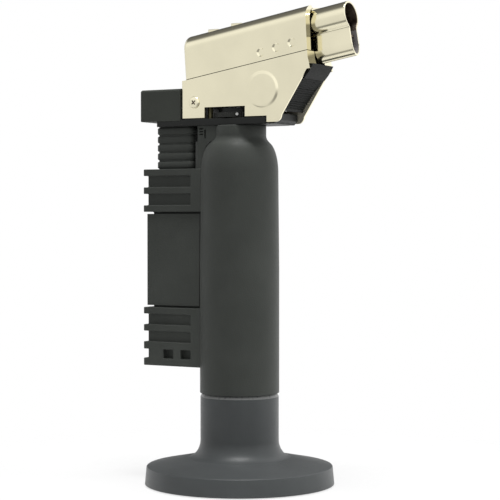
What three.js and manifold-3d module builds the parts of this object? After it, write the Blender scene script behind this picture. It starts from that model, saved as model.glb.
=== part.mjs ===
// Butane micro torch: a gas tank on a lift-off stand, a finned igniter housing behind it,
// and a plated head with a pull trigger, a flame wheel and a keyhole-shaped nozzle guard.
// Millimetres, +Z up, +X towards the nozzle, origin under the middle of the stand.
import * as THREE from "three";
import { mergeVertices } from "three/addons/utils/BufferGeometryUtils.js";
import Module from "manifold-3d";

const wasm = await Module();
wasm.setup();

// Clearances
const FIT = 0.3; // between pieces that seat on each other
const RUN = 0.4; // between pieces that slide or turn
const SOCKET_PLAY = 0.25; // between the tank's spigot and the stand's sleeve
const OVER = 1; // how far a cutting shape runs past what it cuts

// Stand
const FOOT_RADIUS = 34.9;
const FOOT_LIFT = 0.4; // the rim clears the ground and the sole stands on it
const FOOT_RIM_HEIGHT = 5.5;
const FOOT_DRAFT = 0.6;
const FOOT_RIM_ROUND = 1;
const FOOT_CONE_RADIUS = 20;
const FOOT_CONE_RISE = 2.9;
const SLEEVE_FILLET = 6.7;
const SLEEVE_RADIUS = 14.45;
const SLEEVE_LENGTH = 17.15;
const SLEEVE_CHAMFER = 0.95;
const SOLE_RADIUS = 30.5;
const SOLE_THICKNESS = 1.3;
const SOCKET_SPARE = 4; // free room under the tank's spigot
const GRIP_RING_WIRE = 0.6;
const GRIP_RING_DROP = 7; // below the joint of stand and tank

// Tank
const TANK_RADIUS = 14.6;
const TANK_TAPER = 0.33; // radius lost over the tapered length
const TANK_STRAIGHT = 46;
const TANK_TAPERED = 35;
const SHOULDER_HEIGHT = 11.5;
const NECK_RADIUS = 9.8;
const NECK_HEIGHT = 5.75;
const NECK_BORE = 6.5;
const TANK_WALL = 1.7;
const SPIGOT_RADIUS = 11.9;
const SPIGOT_LENGTH = 20;
const SPIGOT_WALL = 2.4;
const PLUG_THICKNESS = 5;
const PLUG_SEAL_WIRE = 0.9;
const WICK_RADIUS = 2;
const WICK_CLEAR = 6.2; // above the filling valve

// Filling valve in the tank's end plug
const FILL_BODY_RADIUS = 4.2;
const FILL_BODY_LENGTH = 12;
const FILL_COLLAR = 1.2;
const FILL_FLOOR = 3.6; // the chamber's floor above the collar's underside
const FILL_STEM_RADIUS = 1;
const FILL_STEM_HEAD = 2.2;
const FILL_STEM_HEAD_HEIGHT = 1.2;
const FILL_STEM_REACH = 1.2; // below the collar
const FILL_SPRING_WIRE = 0.3;
const FILL_SPRING_TURNS = 4;

// Main valve in the neck
const VALVE_LENGTH = 19; // below the neck's rim
const VALVE_SHAFT = 4.8;
const VALVE_FLANGE = 7.2;
const VALVE_FLANGE_HEIGHT = 1.2;
const VALVE_TOP_RADIUS = 4.2;
const VALVE_TOP_HEIGHT = 3.7; // above the frame's plate
const VALVE_CHAMBER = 3.4;
const VALVE_CHAMBER_LENGTH = 15;
const VALVE_STEM_RADIUS = 1.5;
const VALVE_DISC_HEIGHT = 1.5;
const VALVE_SPRING_WIRE = 0.6;
const VALVE_SPRING_TURNS = 5;
const SEAT_SEAL_HEIGHT = 1.6;
const SEAT_HOLE_RADIUS = 1;

// Flame wheel on the valve
const WHEEL_RADIUS = 9.4;
const WHEEL_HEIGHT = 1.8;
const WHEEL_TEETH = 40;
const WHEEL_TOOTH = 0.3;
const CLIP_RADIUS = 5.7;
const CLIP_HEIGHT = 0.7;

// Finned igniter housing behind the tank
const HOUSING_DEPTH = 36.4; // from the tank's axis to the fins' faces
const HOUSING_WIDTH = 18;
const HOUSING_BOTTOM = 9.35; // above the joint of stand and tank
const HOUSING_HEIGHT = 73.2;
const FIN_HEIGHT = 2.45;
const FIN_DEPTH = 1.25;
const FIN_END = 15.8; // where the flank grooves stop, from the tank's axis
const UPPER_FINS = 3;
const UPPER_FIN_PITCH = 6.7;
const LOWER_FINS = 4;
const LOWER_FIN_PITCH = 6.43;
const PANEL_INSET = 1.1; // of the panel's face below the fins
const PANEL_REAR_INSET = 0.95;
const PANEL_GAP = 1.1; // shadow line over and under the panel
const PANEL_THICKNESS = 1.4;
const POCKET_WIDTH = 4.35;
const POCKET_DEPTH = 2.4;
const POCKET_PITCH = 7.6;
const STRIP_REAR = 12.9; // two upright arms that hug the neck, from the tank's axis
const STRIP_RIB_REAR = 14.4; // the arms' inner ribs
const STRIP_WIDTH = 17;
const STRIP_SLOT = 11; // open between the arms
const PIEZO_RADIUS = 4;
const PIEZO_LENGTH = 36;
const PIEZO_SHELF = 3;
const PIEZO_BORE_LENGTH = 14;
const PLUNGER_RADIUS = 2.5;
const PLUNGER_AXIS = 22.75; // behind the tank's axis
const PLUNGER_ENTRY = 8; // plunger's length inside the igniter at rest
const HOUSING_FLOOR = 4;
const HOUSING_WALL = 1.6;
const WIRE_LANE = 1.8; // room for the wire in front of the igniter

// Ribbed sleeve between the housing and the head
const SLEEVE_REAR = 31.9;
const SLEEVE_FRONT = 15.8;
const RIBBED_WIDTH = 15;
const RIBBED_CORNER = 2.4;
const RIB_COUNT = 5;
const RIB_DEPTH = 0.6;

// Head frame
const PLATE_THICKNESS = 2.5;
const PLATE_STEP = 0.5; // lower seat under the rear cap
const PLATE_REAR = 30.5;
const PLATE_FRONT = 16.1;
const NOSE_FRONT = 20;
const NOSE_RISE = 1.2; // above the plate
const NOSE_CHAMFER = 1.3;
const DECK_FLOOR = 0.9;
const RAIL_REAR = 18.8;
const RAIL_FRONT = 15;
const RAIL_HEIGHT = 8.3; // above the deck's floor
const REAR_PILLAR_FRONT = 11.9;
const FRONT_PILLAR_REAR = 10.2;
const EAR_THICKNESS = 1.5;
const EAR_RADIUS = 2.2;
const EAR_ROOT = 2; // the ears' root inside the rails
const EAR_ARM_LOW = THREE.MathUtils.degToRad(240); // where the arm's edges meet the ear
const EAR_ARM_HIGH = THREE.MathUtils.degToRad(150);

// Plated shells
const HEAD_WIDTH = 18;
const SHELL_WALL = 0.8;
const HEAD_TILT = THREE.MathUtils.degToRad(9.6);
const SEAM_RISE = 17.64; // head seam above the plate, over the tank's axis
const SEAM_LINE = 0.4; // open line between the two shells
const HOOD_HEIGHT = 16.5;
const HOOD_ROUND = 4.8;
const HOOD_REAR = 18.4;
const HOOD_REAR_LEAN = 1.1;
const HOOD_REAR_ROUND = 4;
const SHELL_REAR = 19.9;
const SHELL_FRONT = 33.2;
const WINDOW_REAR = 9.6;
const WINDOW_FRONT = 7.4;
const WINDOW_HEIGHT = 4.1;
const TOE_FRONT = 22.4;
const TOE_DROP = 2; // below the plate's top
const TOE_ROUND = 2.4;
const BROW_RISE = 16.3; // upper end of the slanted front edge, above the plate
const BROW_FRONT = 32.6;
const DISC_X = 15;
const DISC_RISE = 9.7;
const DISC_RADIUS = 6.35;
const DISC_RELIEF = 0.4;
const SCREW_X = -14;
const SCREW_RISE = 6;
const SCREW_RADIUS = 1;
const SCREW_HEAD_RADIUS = 2.2;
const SCREW_HEAD_HEIGHT = 0.9;
const SCREW_LENGTH = 4;
const CROSS_LENGTH = 2.4;
const CROSS_WIDTH = 0.6;
const CROSS_DEPTH = 0.5;
const LOUVRE_LENGTH = 4.6;
const LOUVRE_WIDTH = 9;
const LOUVRE_HEIGHT = 1.1;
const LOUVRE_REAR = -8.6;
const LOUVRE_FRONT = 1.2;

// Rear cap behind the head
const CAP_REAR = 38;
const CAP_HEIGHT = 11.9;
const CAP_WALL = 1.5;
const CAP_CAVITY_WIDTH = 8.4;
const CAP_CAVITY_REAR = 29;

// Trigger and cam slide
const PIN_X = 24.4;
const PIN_RISE = 13.6;
const PIN_RADIUS = 1;
const KNUCKLE_RADIUS = 2.4;
const KNUCKLE_WIDTH = 12;
const FACE_THICKNESS = 2.4;
const FACE_LOW_X = 22;
const FACE_LOW_RISE = 2;
const FACE_MID_X = 26.9;
const FACE_MID_RISE = 9.5;
const FACE_HIGH_X = 33.3;
const FACE_HIGH_RISE = 16.9;
const FACE_LIP_X = 34.9;
const FACE_LIP_RISE = 19.5;
const TRIGGER_NOSE_X = 22;
const TRIGGER_NOSE_RADIUS = 1.6;
const TRIGGER_SPRING_RADIUS = 1.4;
const TRIGGER_SPRING_WIRE = 0.35;
const TRIGGER_SPRING_TURNS = 3;
const TRIGGER_WEB_LOW = 0.45; // share of the face's front line where the web starts
const TRIGGER_WEB_HIGH = 0.8;
const TRIGGER_WEB_TURN = THREE.MathUtils.degToRad(50); // where the web meets the knuckle
const SLIDE_WIDTH = 5.6;
const SLIDE_HEIGHT = 3.6;
const SLIDE_TRAVEL = 1.8;
const SLIDE_CHAMFER = 1.2; // under the front end, clear of the pulled trigger's face
const PLUNGER_RAMP = THREE.MathUtils.degToRad(60);
const VALVE_RAMP = THREE.MathUtils.degToRad(23);
const STEM_HEAD_LENGTH = 6;
const STEM_HEAD_WIDTH = 4.8;

// Burner and nozzle guard, along the tilted head
const NOZZLE_RISE = 9.64; // nozzle axis above the head seam, square to it
const MOUTH_REACH = 48; // mouth plane from the tank's axis, along the nozzle
const GUARD_LENGTH = 34;
const GUARD_RADIUS = 5.3;
const GUARD_WALL = 0.7;
const WEB_WIDTH = 6.2;
const GUARD_DROP = 14.7; // bottom of the web below the nozzle axis
const WAIST_FILLET = 1.5;
const DIVIDER_DROP = 7;
const DIVIDER_THICKNESS = 0.8;
const DIVIDER_LENGTH = 12;
const DIVIDER_SETBACK = 1.2;
const MIXING_RADIUS = 3.2;
const MIXING_WALL = 0.7;
const HOLDER_LENGTH = 7;
const HOLDER_SETBACK = 6.7; // from the mouth plane
const HOLDER_SOCKET = 2.3; // its depth over the mixing tube
const HOLDER_THROAT = 1;
const JET_RADIUS = 3.6;
const JET_LENGTH = 8;
const JET_TIP_RADIUS = 1.2;
const JET_TIP_LENGTH = 4.5;
const JET_TAPER = 1;
const JET_INLET = 6.4; // the pipe's inlet behind the jet's front face
const MIXING_START = 4;
const ELECTRODE_DROP = 5;
const ELECTRODE_RADIUS = 0.5;
const ELECTRODE_TIP_RISE = 2;
const INSULATOR_RADIUS = 1.2;
const INSULATOR_LENGTH = 17;
const CRADLE_BASE = 2;
const CRADLE_REAR = 6;
const CRADLE_FRONT = 20;
const SADDLE_LENGTH = 6;
const SOCKET_WALL_LENGTH = 8; // of the cradle's front block, which holds the guard

// Pipe and wire
const GAS_TUBE_RADIUS = 1;
const GAS_TUBE_X = -8.9;
const GAS_TUBE_Y = -5.9;
const GAS_TUBE_BEND = 1.4;
const GAS_TUBE_STEPS = 16;
const WIRE_RADIUS = 0.6;
const WIRE_STEPS = 28;
const WIRE_STUB = 2; // straight run over the igniter and under the rail's top
const WIRE_REACH = 2.4; // from the rear corner into the hood
const WIRE_SWAY = 0.6;
const WIRE_CLIMB = 2.2;
const WIRE_LIFT = 1.6; // over the seam behind the cradle
const WIRE_LEAD = 5; // in front of the insulator's end
const WIRE_DIP = 1.4;
const WIRE_SEAT_TURN = THREE.MathUtils.degToRad(40); // where it leaves the igniter's top
const LINE_SIDES = 8;
const WIRE_X = -17.6;
const WIRE_Y = 4.2;

// Roundness of turned pieces
const LARGE_SEGMENTS = 40;
const SMALL_SEGMENTS = 20;
const ARC_STEPS = 6;

// Heights that follow from the sizes above
const rimTop = FOOT_LIFT + FOOT_RIM_HEIGHT + FOOT_RIM_ROUND;
const coneTop = rimTop + FOOT_CONE_RISE;
const filletTop = coneTop + SLEEVE_FILLET;
const jointZ = filletTop + SLEEVE_LENGTH;
const tankBottom = jointZ - SPIGOT_LENGTH;
const socketFloor = tankBottom - SOCKET_SPARE;
const taperStart = jointZ + TANK_STRAIGHT;
const shoulderBase = taperStart + TANK_TAPERED;
const shoulderTop = shoulderBase + SHOULDER_HEIGHT;
const neckTop = shoulderTop + NECK_HEIGHT;
const plateTop = neckTop + PLATE_THICKNESS;
const capSeat = plateTop - PLATE_STEP;
const housingBottom = jointZ + HOUSING_BOTTOM;
const housingTop = housingBottom + HOUSING_HEIGHT;
const windowTop = plateTop + WINDOW_HEIGHT;
const deckBottom = windowTop + FIT;
const deckTop = deckBottom + DECK_FLOOR;
const railTop = deckTop + RAIL_HEIGHT;
const slideBottom = deckTop + RUN;
const slideTop = slideBottom + SLIDE_HEIGHT;
const slideAxis = slideBottom + SLIDE_HEIGHT / 2;
const pinZ = plateTop + PIN_RISE;
const screwZ = plateTop + SCREW_RISE;
const valveTop = plateTop + VALVE_TOP_HEIGHT;
const valveBottom = neckTop - VALVE_LENGTH;
const chamberTop = valveBottom + VALVE_CHAMBER_LENGTH;
const wheelBottom = plateTop + FIT;
const wheelTop = wheelBottom + WHEEL_HEIGHT;
const shellBottom = plateTop + FIT;
const tankTopRadius = TANK_RADIUS - TANK_TAPER;
const halfHead = HEAD_WIDTH / 2;
const flankInner = halfHead - SHELL_WALL;
const coreHalf = flankInner - FIT;
const halfHousing = HOUSING_WIDTH / 2;
const channelHalf = SLIDE_WIDTH / 2 + RUN;
const seamZ = (x) => plateTop + SEAM_RISE + x * Math.tan(HEAD_TILT);

// Materials
function finish(color, metalness, roughness) {
  return new THREE.MeshStandardMaterial({ color, metalness, roughness });
}

const darkCoat = finish(0x3c3d39, 0.1, 0.7);
const standCoat = finish(0x464a4b, 0.1, 0.65);
const blackPlastic = finish(0x1b1c1d, 0, 0.55);
const champagne = finish(0xdcd5b8, 1, 0.25);
const brass = finish(0xb08d4a, 1, 0.35);
const steel = finish(0x9a9a98, 1, 0.35);
const rubber = finish(0x161616, 0, 0.85);
const ceramic = finish(0xe8e4d8, 0, 0.4);
const felt = finish(0xb9b09a, 0, 0.95);
const heatedSteel = finish(0x6b5a48, 1, 0.45);

// Joining and cutting closed geometries
function solid(geometry) {
  const bare = geometry.index ? geometry.toNonIndexed() : geometry.clone();
  bare.deleteAttribute("normal");
  bare.deleteAttribute("uv");
  const merged = mergeVertices(bare, 1e-4);
  const mesh = new wasm.Mesh({
    numProp: 3,
    vertProperties: new Float32Array(merged.attributes.position.array),
    triVerts: new Uint32Array(merged.index.array),
  });
  return new wasm.Manifold(mesh);
}

function geometryOf(body) {
  const mesh = body.getMesh();
  return new THREE.BufferGeometry()
    .setAttribute("position", new THREE.BufferAttribute(mesh.vertProperties, 3))
    .setIndex(new THREE.BufferAttribute(mesh.triVerts, 1));
}

const join = (...pieces) => geometryOf(pieces.map(solid).reduce((all, one) => all.add(one)));
const cut = (piece, ...tools) =>
  geometryOf(tools.reduce((left, tool) => left.subtract(solid(tool)), solid(piece)));
const common = (one, other) => geometryOf(solid(one).intersect(solid(other)));

// Basic shapes
function box(x0, x1, y0, y1, z0, z1) {
  const block = new THREE.BoxGeometry(x1 - x0, y1 - y0, z1 - z0);
  return block.translate((x0 + x1) / 2, (y0 + y1) / 2, (z0 + z1) / 2);
}

function turned(profile, segments) {
  const points = profile.map(([radius, z]) => new THREE.Vector2(radius, z));
  return new THREE.LatheGeometry(points, segments).rotateX(Math.PI / 2);
}

// Points of a quarter ellipse in a turned profile, from level with its centre to above it
function quarterArc(centreRadius, centreZ, reach, rise, steps) {
  return Array.from({ length: steps + 1 }, (_, i) => {
    const turn = (Math.PI / 2) * (i / steps);
    return [centreRadius + reach * Math.cos(turn), centreZ + rise * Math.sin(turn)];
  });
}

function onCircle(x, z, radius, turn) {
  return [x + radius * Math.cos(turn), z + radius * Math.sin(turn)];
}

function rod(radius, z0, z1, segments = SMALL_SEGMENTS) {
  return turned([[0, z0], [radius, z0], [radius, z1], [0, z1]], segments);
}

function tube(inner, outer, z0, z1, segments = SMALL_SEGMENTS) {
  return turned([[inner, z0], [outer, z0], [outer, z1], [inner, z1], [inner, z0]], segments);
}

function ring(radius, wire, z, sides = 6) {
  const profile = Array.from({ length: sides + 1 }, (_, i) => {
    const turn = (2 * Math.PI * (i % sides)) / sides;
    return [radius + wire * Math.cos(turn), z + wire * Math.sin(turn)];
  });
  return turned(profile, LARGE_SEGMENTS);
}

// A rod or tube across the head, along Y
const across = (geometry) => geometry.rotateX(Math.PI / 2);

// A rod or tube along X
const lengthwise = (geometry) => geometry.rotateY(Math.PI / 2);

function shapeOf(points) {
  return new THREE.Shape(points.map(([a, b]) => new THREE.Vector2(a, b)));
}

function roundedRectangle(x0, x1, y0, y1, corner) {
  const shape = new THREE.Shape();
  shape.absarc(x1 - corner, y1 - corner, corner, 0, Math.PI / 2);
  shape.absarc(x0 + corner, y1 - corner, corner, Math.PI / 2, Math.PI);
  shape.absarc(x0 + corner, y0 + corner, corner, Math.PI, 1.5 * Math.PI);
  shape.absarc(x1 - corner, y0 + corner, corner, 1.5 * Math.PI, 2 * Math.PI);
  return shape;
}

function extruded(shape, depth, curveSegments = 6) {
  return new THREE.ExtrudeGeometry(shape, { depth, bevelEnabled: false, curveSegments });
}

// A side outline in X and Z, given a width about the middle plane
function sidePlate(shape, width) {
  return extruded(shape, width).rotateX(Math.PI / 2).translate(0, width / 2, 0);
}

// A cross-section in Y and Z, carried from x0 to x1
function along(shape, x0, x1) {
  const turn = new THREE.Matrix4().makeBasis(
    new THREE.Vector3(0, 1, 0),
    new THREE.Vector3(0, 0, 1),
    new THREE.Vector3(1, 0, 0),
  );
  return extruded(shape, x1 - x0).applyMatrix4(turn).translate(x0, 0, 0);
}

// A regular polygon that stands for a round section
function roundSection(radius, sides) {
  const corners = Array.from({ length: sides }, (_, i) => (2 * Math.PI * i) / sides);
  return shapeOf(corners.map((turn) => [radius * Math.cos(turn), radius * Math.sin(turn)]));
}

// A round line through a few points
function swept(points, radius, sides, steps) {
  const path = new THREE.CatmullRomCurve3(points.map((p) => new THREE.Vector3(...p)), false, "centripetal");
  const section = roundSection(radius, sides);
  return new THREE.ExtrudeGeometry(section, { extrudePath: path, steps, bevelEnabled: false });
}

class Helix extends THREE.Curve {
  constructor(radius, length, turns) {
    super();
    Object.assign(this, { radius, length, turns });
  }
  getPoint(t) {
    const turn = 2 * Math.PI * this.turns * t;
    return new THREE.Vector3(this.radius * Math.cos(turn), this.radius * Math.sin(turn), this.length * t);
  }
}

// A wound spring that fills the room between two faces; its least gap to itself is printed
function spring(name, radius, wire, z0, z1, turns) {
  const rise = z1 - z0 - 2 * (wire + FIT);
  const options = { extrudePath: new Helix(radius, rise, turns), steps: turns * 8 };
  console.log(name + " least gap " + (rise / turns - 2 * wire).toFixed(2) + " mm");
  const coil = new THREE.ExtrudeGeometry(roundSection(wire, 5), { ...options, bevelEnabled: false });
  return coil.translate(0, 0, z0 + wire + FIT);
}

// The assembly: an upright group, and a tilted one that follows the head
const torch = new THREE.Group();
const tilted = new THREE.Group();
tilted.position.set(0, 0, seamZ(0));
tilted.rotation.y = -HEAD_TILT;
torch.add(tilted);
tilted.updateMatrix();
const tiltedPlace = (geometry) => geometry.clone().applyMatrix4(tilted.matrix);

function place(name, geometry, material, group = torch) {
  const mesh = new THREE.Mesh(geometry, material);
  mesh.name = name;
  group.add(mesh);
}

// Stand
function standFoot() {
  const socket = SPIGOT_RADIUS + SOCKET_PLAY;
  const recess = SOLE_RADIUS + FIT;
  const rimRadius = FOOT_RADIUS - FOOT_DRAFT;
  const flareRun = FOOT_CONE_RADIUS - SLEEVE_RADIUS;
  const flare = quarterArc(FOOT_CONE_RADIUS, filletTop, -flareRun, -SLEEVE_FILLET, ARC_STEPS).reverse();
  return turned(
    [
      [0, SOLE_THICKNESS],
      [recess, SOLE_THICKNESS],
      [recess, FOOT_LIFT],
      [FOOT_RADIUS, FOOT_LIFT],
      ...quarterArc(rimRadius - FOOT_RIM_ROUND, rimTop - FOOT_RIM_ROUND, FOOT_RIM_ROUND, FOOT_RIM_ROUND, 2),
      ...flare,
      [SLEEVE_RADIUS, jointZ - SLEEVE_CHAMFER],
      [SLEEVE_RADIUS - SLEEVE_CHAMFER, jointZ],
      [socket, jointZ],
      [socket, socketFloor],
      [0, socketFloor],
    ],
    LARGE_SEGMENTS,
  );
}

const gripRingZ = jointZ - GRIP_RING_DROP;
const gripRingRadius = SPIGOT_RADIUS - GRIP_RING_WIRE + SOCKET_PLAY / 2;
place("stand_foot", standFoot(), standCoat);
place("stand_sole", rod(SOLE_RADIUS, 0, SOLE_THICKNESS, LARGE_SEGMENTS), rubber);
place("stand_grip_ring", ring(gripRingRadius, GRIP_RING_WIRE, gripRingZ), rubber);

// Tank
function shoulder(outer, inner, base, height) {
  return quarterArc(inner, base, outer - inner, height, ARC_STEPS);
}

// The tank's outside above the joint, grown by a clearance, with its axis filled
function tankEnvelope(clearance) {
  const neck = NECK_RADIUS + clearance;
  return turned(
    [
      [0, jointZ - clearance],
      [TANK_RADIUS + clearance, jointZ - clearance],
      [TANK_RADIUS + clearance, taperStart],
      ...shoulder(tankTopRadius + clearance, neck, shoulderBase, SHOULDER_HEIGHT + clearance),
      [neck, neckTop + clearance],
      [0, neckTop + clearance],
    ],
    LARGE_SEGMENTS,
  );
}

// A square groove in a turned outside, for a ring of round section
function ringGroove(radius, depth, z, half) {
  return [[radius, z - half], [radius - depth, z - half], [radius - depth, z + half], [radius, z + half]];
}

function tankShell() {
  const bore = SPIGOT_RADIUS - SPIGOT_WALL;
  const gripHalf = GRIP_RING_WIRE + SOCKET_PLAY;
  const chamferRise = TANK_RADIUS - SLEEVE_RADIUS + SLEEVE_CHAMFER;
  const insideTop = shoulder(tankTopRadius - TANK_WALL, NECK_BORE, shoulderBase, SHOULDER_HEIGHT - TANK_WALL);
  return turned(
    [
      [bore, tankBottom],
      [SPIGOT_RADIUS, tankBottom],
      ...ringGroove(SPIGOT_RADIUS, 2 * gripHalf - SOCKET_PLAY, gripRingZ, gripHalf),
      [SPIGOT_RADIUS, jointZ],
      [SLEEVE_RADIUS - SLEEVE_CHAMFER, jointZ],
      [TANK_RADIUS, jointZ + chamferRise],
      [TANK_RADIUS, taperStart],
      ...shoulder(tankTopRadius, NECK_RADIUS, shoulderBase, SHOULDER_HEIGHT),
      [NECK_RADIUS, neckTop],
      [NECK_BORE, neckTop],
      ...insideTop.reverse(),
      [TANK_RADIUS - TANK_WALL, taperStart],
      [TANK_RADIUS - TANK_WALL, jointZ + 2 * TANK_WALL],
      [bore, jointZ + TANK_WALL],
      [bore, tankBottom],
    ],
    LARGE_SEGMENTS,
  );
}

const plugTop = tankBottom + PLUG_THICKNESS;
const plugRadius = SPIGOT_RADIUS - SPIGOT_WALL - SOCKET_PLAY;
const plugSealRadius = plugRadius - PLUG_SEAL_WIRE;
const plugMiddle = tankBottom + PLUG_THICKNESS / 2;

function tankEndPlug() {
  const bore = FILL_BODY_RADIUS + FIT;
  const half = PLUG_SEAL_WIRE + SOCKET_PLAY;
  return turned(
    [
      [bore, tankBottom],
      [plugRadius, tankBottom],
      ...ringGroove(plugRadius, 2 * half - SOCKET_PLAY, plugMiddle, half),
      [plugRadius, plugTop],
      [bore, plugTop],
      [bore, tankBottom],
    ],
    LARGE_SEGMENTS,
  );
}

place("tank_shell", tankShell(), darkCoat);
place("tank_end_plug", tankEndPlug(), steel);
place("tank_end_seal", ring(plugSealRadius, PLUG_SEAL_WIRE, plugMiddle), rubber);

// Filling valve: the stem's head is held down on the body's floor by its spring
const fillBottom = tankBottom - FILL_COLLAR;
const fillTop = fillBottom + FILL_BODY_LENGTH;
const fillChamber = FILL_STEM_HEAD + RUN;
const fillFloor = fillBottom + FILL_FLOOR;
const fillHeadTop = fillFloor + FIT + FILL_STEM_HEAD_HEIGHT;

function fillValveBody() {
  const bore = FILL_STEM_RADIUS + RUN;
  return turned(
    [
      [bore, fillBottom],
      [FILL_BODY_RADIUS + FILL_COLLAR, fillBottom],
      [FILL_BODY_RADIUS + FILL_COLLAR, tankBottom],
      [FILL_BODY_RADIUS, tankBottom],
      [FILL_BODY_RADIUS, fillTop],
      [bore, fillTop],
      [bore, fillTop - FILL_COLLAR],
      [fillChamber, fillTop - FILL_COLLAR],
      [fillChamber, fillFloor],
      [bore, fillFloor],
      [bore, fillBottom],
    ],
    SMALL_SEGMENTS,
  );
}

function fillValveStem() {
  const tip = fillBottom - FILL_STEM_REACH;
  const head = fillFloor + FIT;
  return turned(
    [
      [0, tip],
      [FILL_STEM_RADIUS, tip],
      [FILL_STEM_RADIUS, head],
      [FILL_STEM_HEAD, head],
      [FILL_STEM_HEAD, fillHeadTop],
      [0, fillHeadTop],
    ],
    SMALL_SEGMENTS,
  );
}

const fillSpringRadius = FILL_STEM_HEAD - FILL_SPRING_WIRE;
const fillRoom = [fillHeadTop, fillTop - FILL_COLLAR];
const fillCoil = ["fill_valve_spring", fillSpringRadius, FILL_SPRING_WIRE, ...fillRoom, FILL_SPRING_TURNS];
place("fill_valve_body", fillValveBody(), brass);
place("fill_valve_stem", fillValveStem(), steel);
place("fill_valve_spring", spring(...fillCoil), steel);

// Main valve: lifting the stem takes its disc off the seal
const seatTop = valveBottom + SEAT_SEAL_HEIGHT;
const discBottom = seatTop + FIT;
const discTop = discBottom + VALVE_DISC_HEIGHT;

function valveBody() {
  const bore = VALVE_STEM_RADIUS + RUN;
  const root = NECK_BORE - FIT;
  const flangeBottom = plateTop - VALVE_FLANGE_HEIGHT;
  return turned(
    [
      [VALVE_CHAMBER, valveBottom],
      [root, valveBottom],
      [root, neckTop - FIT],
      [VALVE_SHAFT, neckTop - FIT],
      [VALVE_SHAFT, flangeBottom],
      [VALVE_FLANGE, flangeBottom],
      [VALVE_FLANGE, plateTop],
      [VALVE_TOP_RADIUS, plateTop],
      [VALVE_TOP_RADIUS, valveTop],
      [bore, valveTop],
      [bore, chamberTop],
      [VALVE_CHAMBER, chamberTop],
      [VALVE_CHAMBER, valveBottom],
    ],
    SMALL_SEGMENTS,
  );
}

// The slide's top ramp lifts the stem's head, whose underside has the same slope
const stemRampZ = slideTop - FIT;
const rampLift = Math.tan(VALVE_RAMP);
const stemHeadTop = railTop - RUN - SLIDE_TRAVEL * rampLift - FIT;

function valveStem() {
  const halfHead = STEM_HEAD_LENGTH / 2;
  const head = shapeOf([
    [-halfHead, stemRampZ - halfHead * rampLift],
    [halfHead, stemRampZ + halfHead * rampLift],
    [halfHead, stemHeadTop],
    [-halfHead, stemHeadTop],
  ]);
  const disc = rod(VALVE_CHAMBER - RUN, discBottom, discTop);
  return join(rod(VALVE_STEM_RADIUS, discBottom, stemRampZ), disc, sidePlate(head, STEM_HEAD_WIDTH));
}

const valveSpringRadius = VALVE_CHAMBER - RUN - VALVE_SPRING_WIRE;
const valveRoom = [discTop, chamberTop];
const valveCoil = ["valve_spring", valveSpringRadius, VALVE_SPRING_WIRE, ...valveRoom, VALVE_SPRING_TURNS];
place("valve_body", valveBody(), brass);
place("valve_stem", valveStem(), steel);
place("valve_spring", spring(...valveCoil), steel);
place("valve_seat_seal", tube(SEAT_HOLE_RADIUS, VALVE_CHAMBER - FIT, valveBottom, seatTop), rubber);
place("gas_wick", rod(WICK_RADIUS, fillTop + WICK_CLEAR, valveBottom - FIT), felt);

// Flame wheel and its clip
function flameWheel() {
  const rim = Array.from({ length: 2 * WHEEL_TEETH }, (_, i) => {
    const turn = (Math.PI * i) / WHEEL_TEETH;
    const radius = WHEEL_RADIUS - (i % 2) * WHEEL_TOOTH;
    return [radius * Math.cos(turn), radius * Math.sin(turn)];
  });
  const disc = extruded(shapeOf(rim), WHEEL_HEIGHT).translate(0, 0, wheelBottom);
  return cut(disc, rod(VALVE_TOP_RADIUS + FIT, wheelBottom - OVER, wheelTop + OVER));
}

const clipBottom = wheelTop + FIT;
place("flame_wheel", flameWheel(), blackPlastic);
const clipTop = clipBottom + CLIP_HEIGHT;
place("wheel_clip", tube(VALVE_TOP_RADIUS + SOCKET_PLAY, CLIP_RADIUS, clipBottom, clipTop), steel);

// Pipe and wire routes, with a wider version that cuts their holes
const jetInlet = new THREE.Vector3(-JET_INLET, 0, NOZZLE_RISE).applyMatrix4(tilted.matrix);
const gasPath = [
  [GAS_TUBE_X, GAS_TUBE_Y, plateTop - PLATE_THICKNESS / 2],
  [GAS_TUBE_X, GAS_TUBE_Y, railTop],
  [GAS_TUBE_X, GAS_TUBE_Y, jetInlet.z - 2 * GAS_TUBE_RADIUS],
  [jetInlet.x, -JET_RADIUS - GAS_TUBE_BEND, jetInlet.z],
  [jetInlet.x, -JET_RADIUS - FIT, jetInlet.z],
];
const gasLine = (radius) => swept(gasPath, radius, LINE_SIDES, GAS_TUBE_STEPS);

const piezoTop = housingTop - PLUNGER_ENTRY;
const insulatorStart = MOUTH_REACH - GUARD_LENGTH + 2 * FIT;
const electrodeHeight = NOZZLE_RISE - ELECTRODE_DROP;
const insulatorBack = new THREE.Vector3(insulatorStart, 0, electrodeHeight).applyMatrix4(tilted.matrix);
const wireSeatRadius = (PIEZO_RADIUS + PLUNGER_RADIUS + RUN) / 2;
const wireSeat = onCircle(-PLUNGER_AXIS, 0, wireSeatRadius, WIRE_SEAT_TURN);
const wirePath = [
  [...wireSeat, piezoTop + FIT],
  [...wireSeat, piezoTop + WIRE_STUB],
  [WIRE_X, WIRE_Y, housingTop],
  [WIRE_X, WIRE_Y, plateTop],
  [WIRE_X, WIRE_Y, railTop - WIRE_STUB],
  [WIRE_X + WIRE_REACH, WIRE_Y - WIRE_SWAY, railTop + WIRE_CLIMB],
  [-CRADLE_REAR, WIRE_SWAY, seamZ(-CRADLE_REAR) + WIRE_LIFT],
  [insulatorBack.x - WIRE_LEAD, 0, insulatorBack.z - WIRE_DIP],
  [insulatorBack.x - FIT, 0, insulatorBack.z - FIT / 4],
];
const wireLine = (radius) => swept(wirePath, radius, LINE_SIDES, WIRE_STEPS);
const gasHole = () => gasLine(GAS_TUBE_RADIUS + FIT);
const wireHole = () => wireLine(WIRE_RADIUS + FIT);

place("gas_tube", gasLine(GAS_TUBE_RADIUS), brass);
place("ignition_wire", wireLine(WIRE_RADIUS), rubber);

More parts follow.
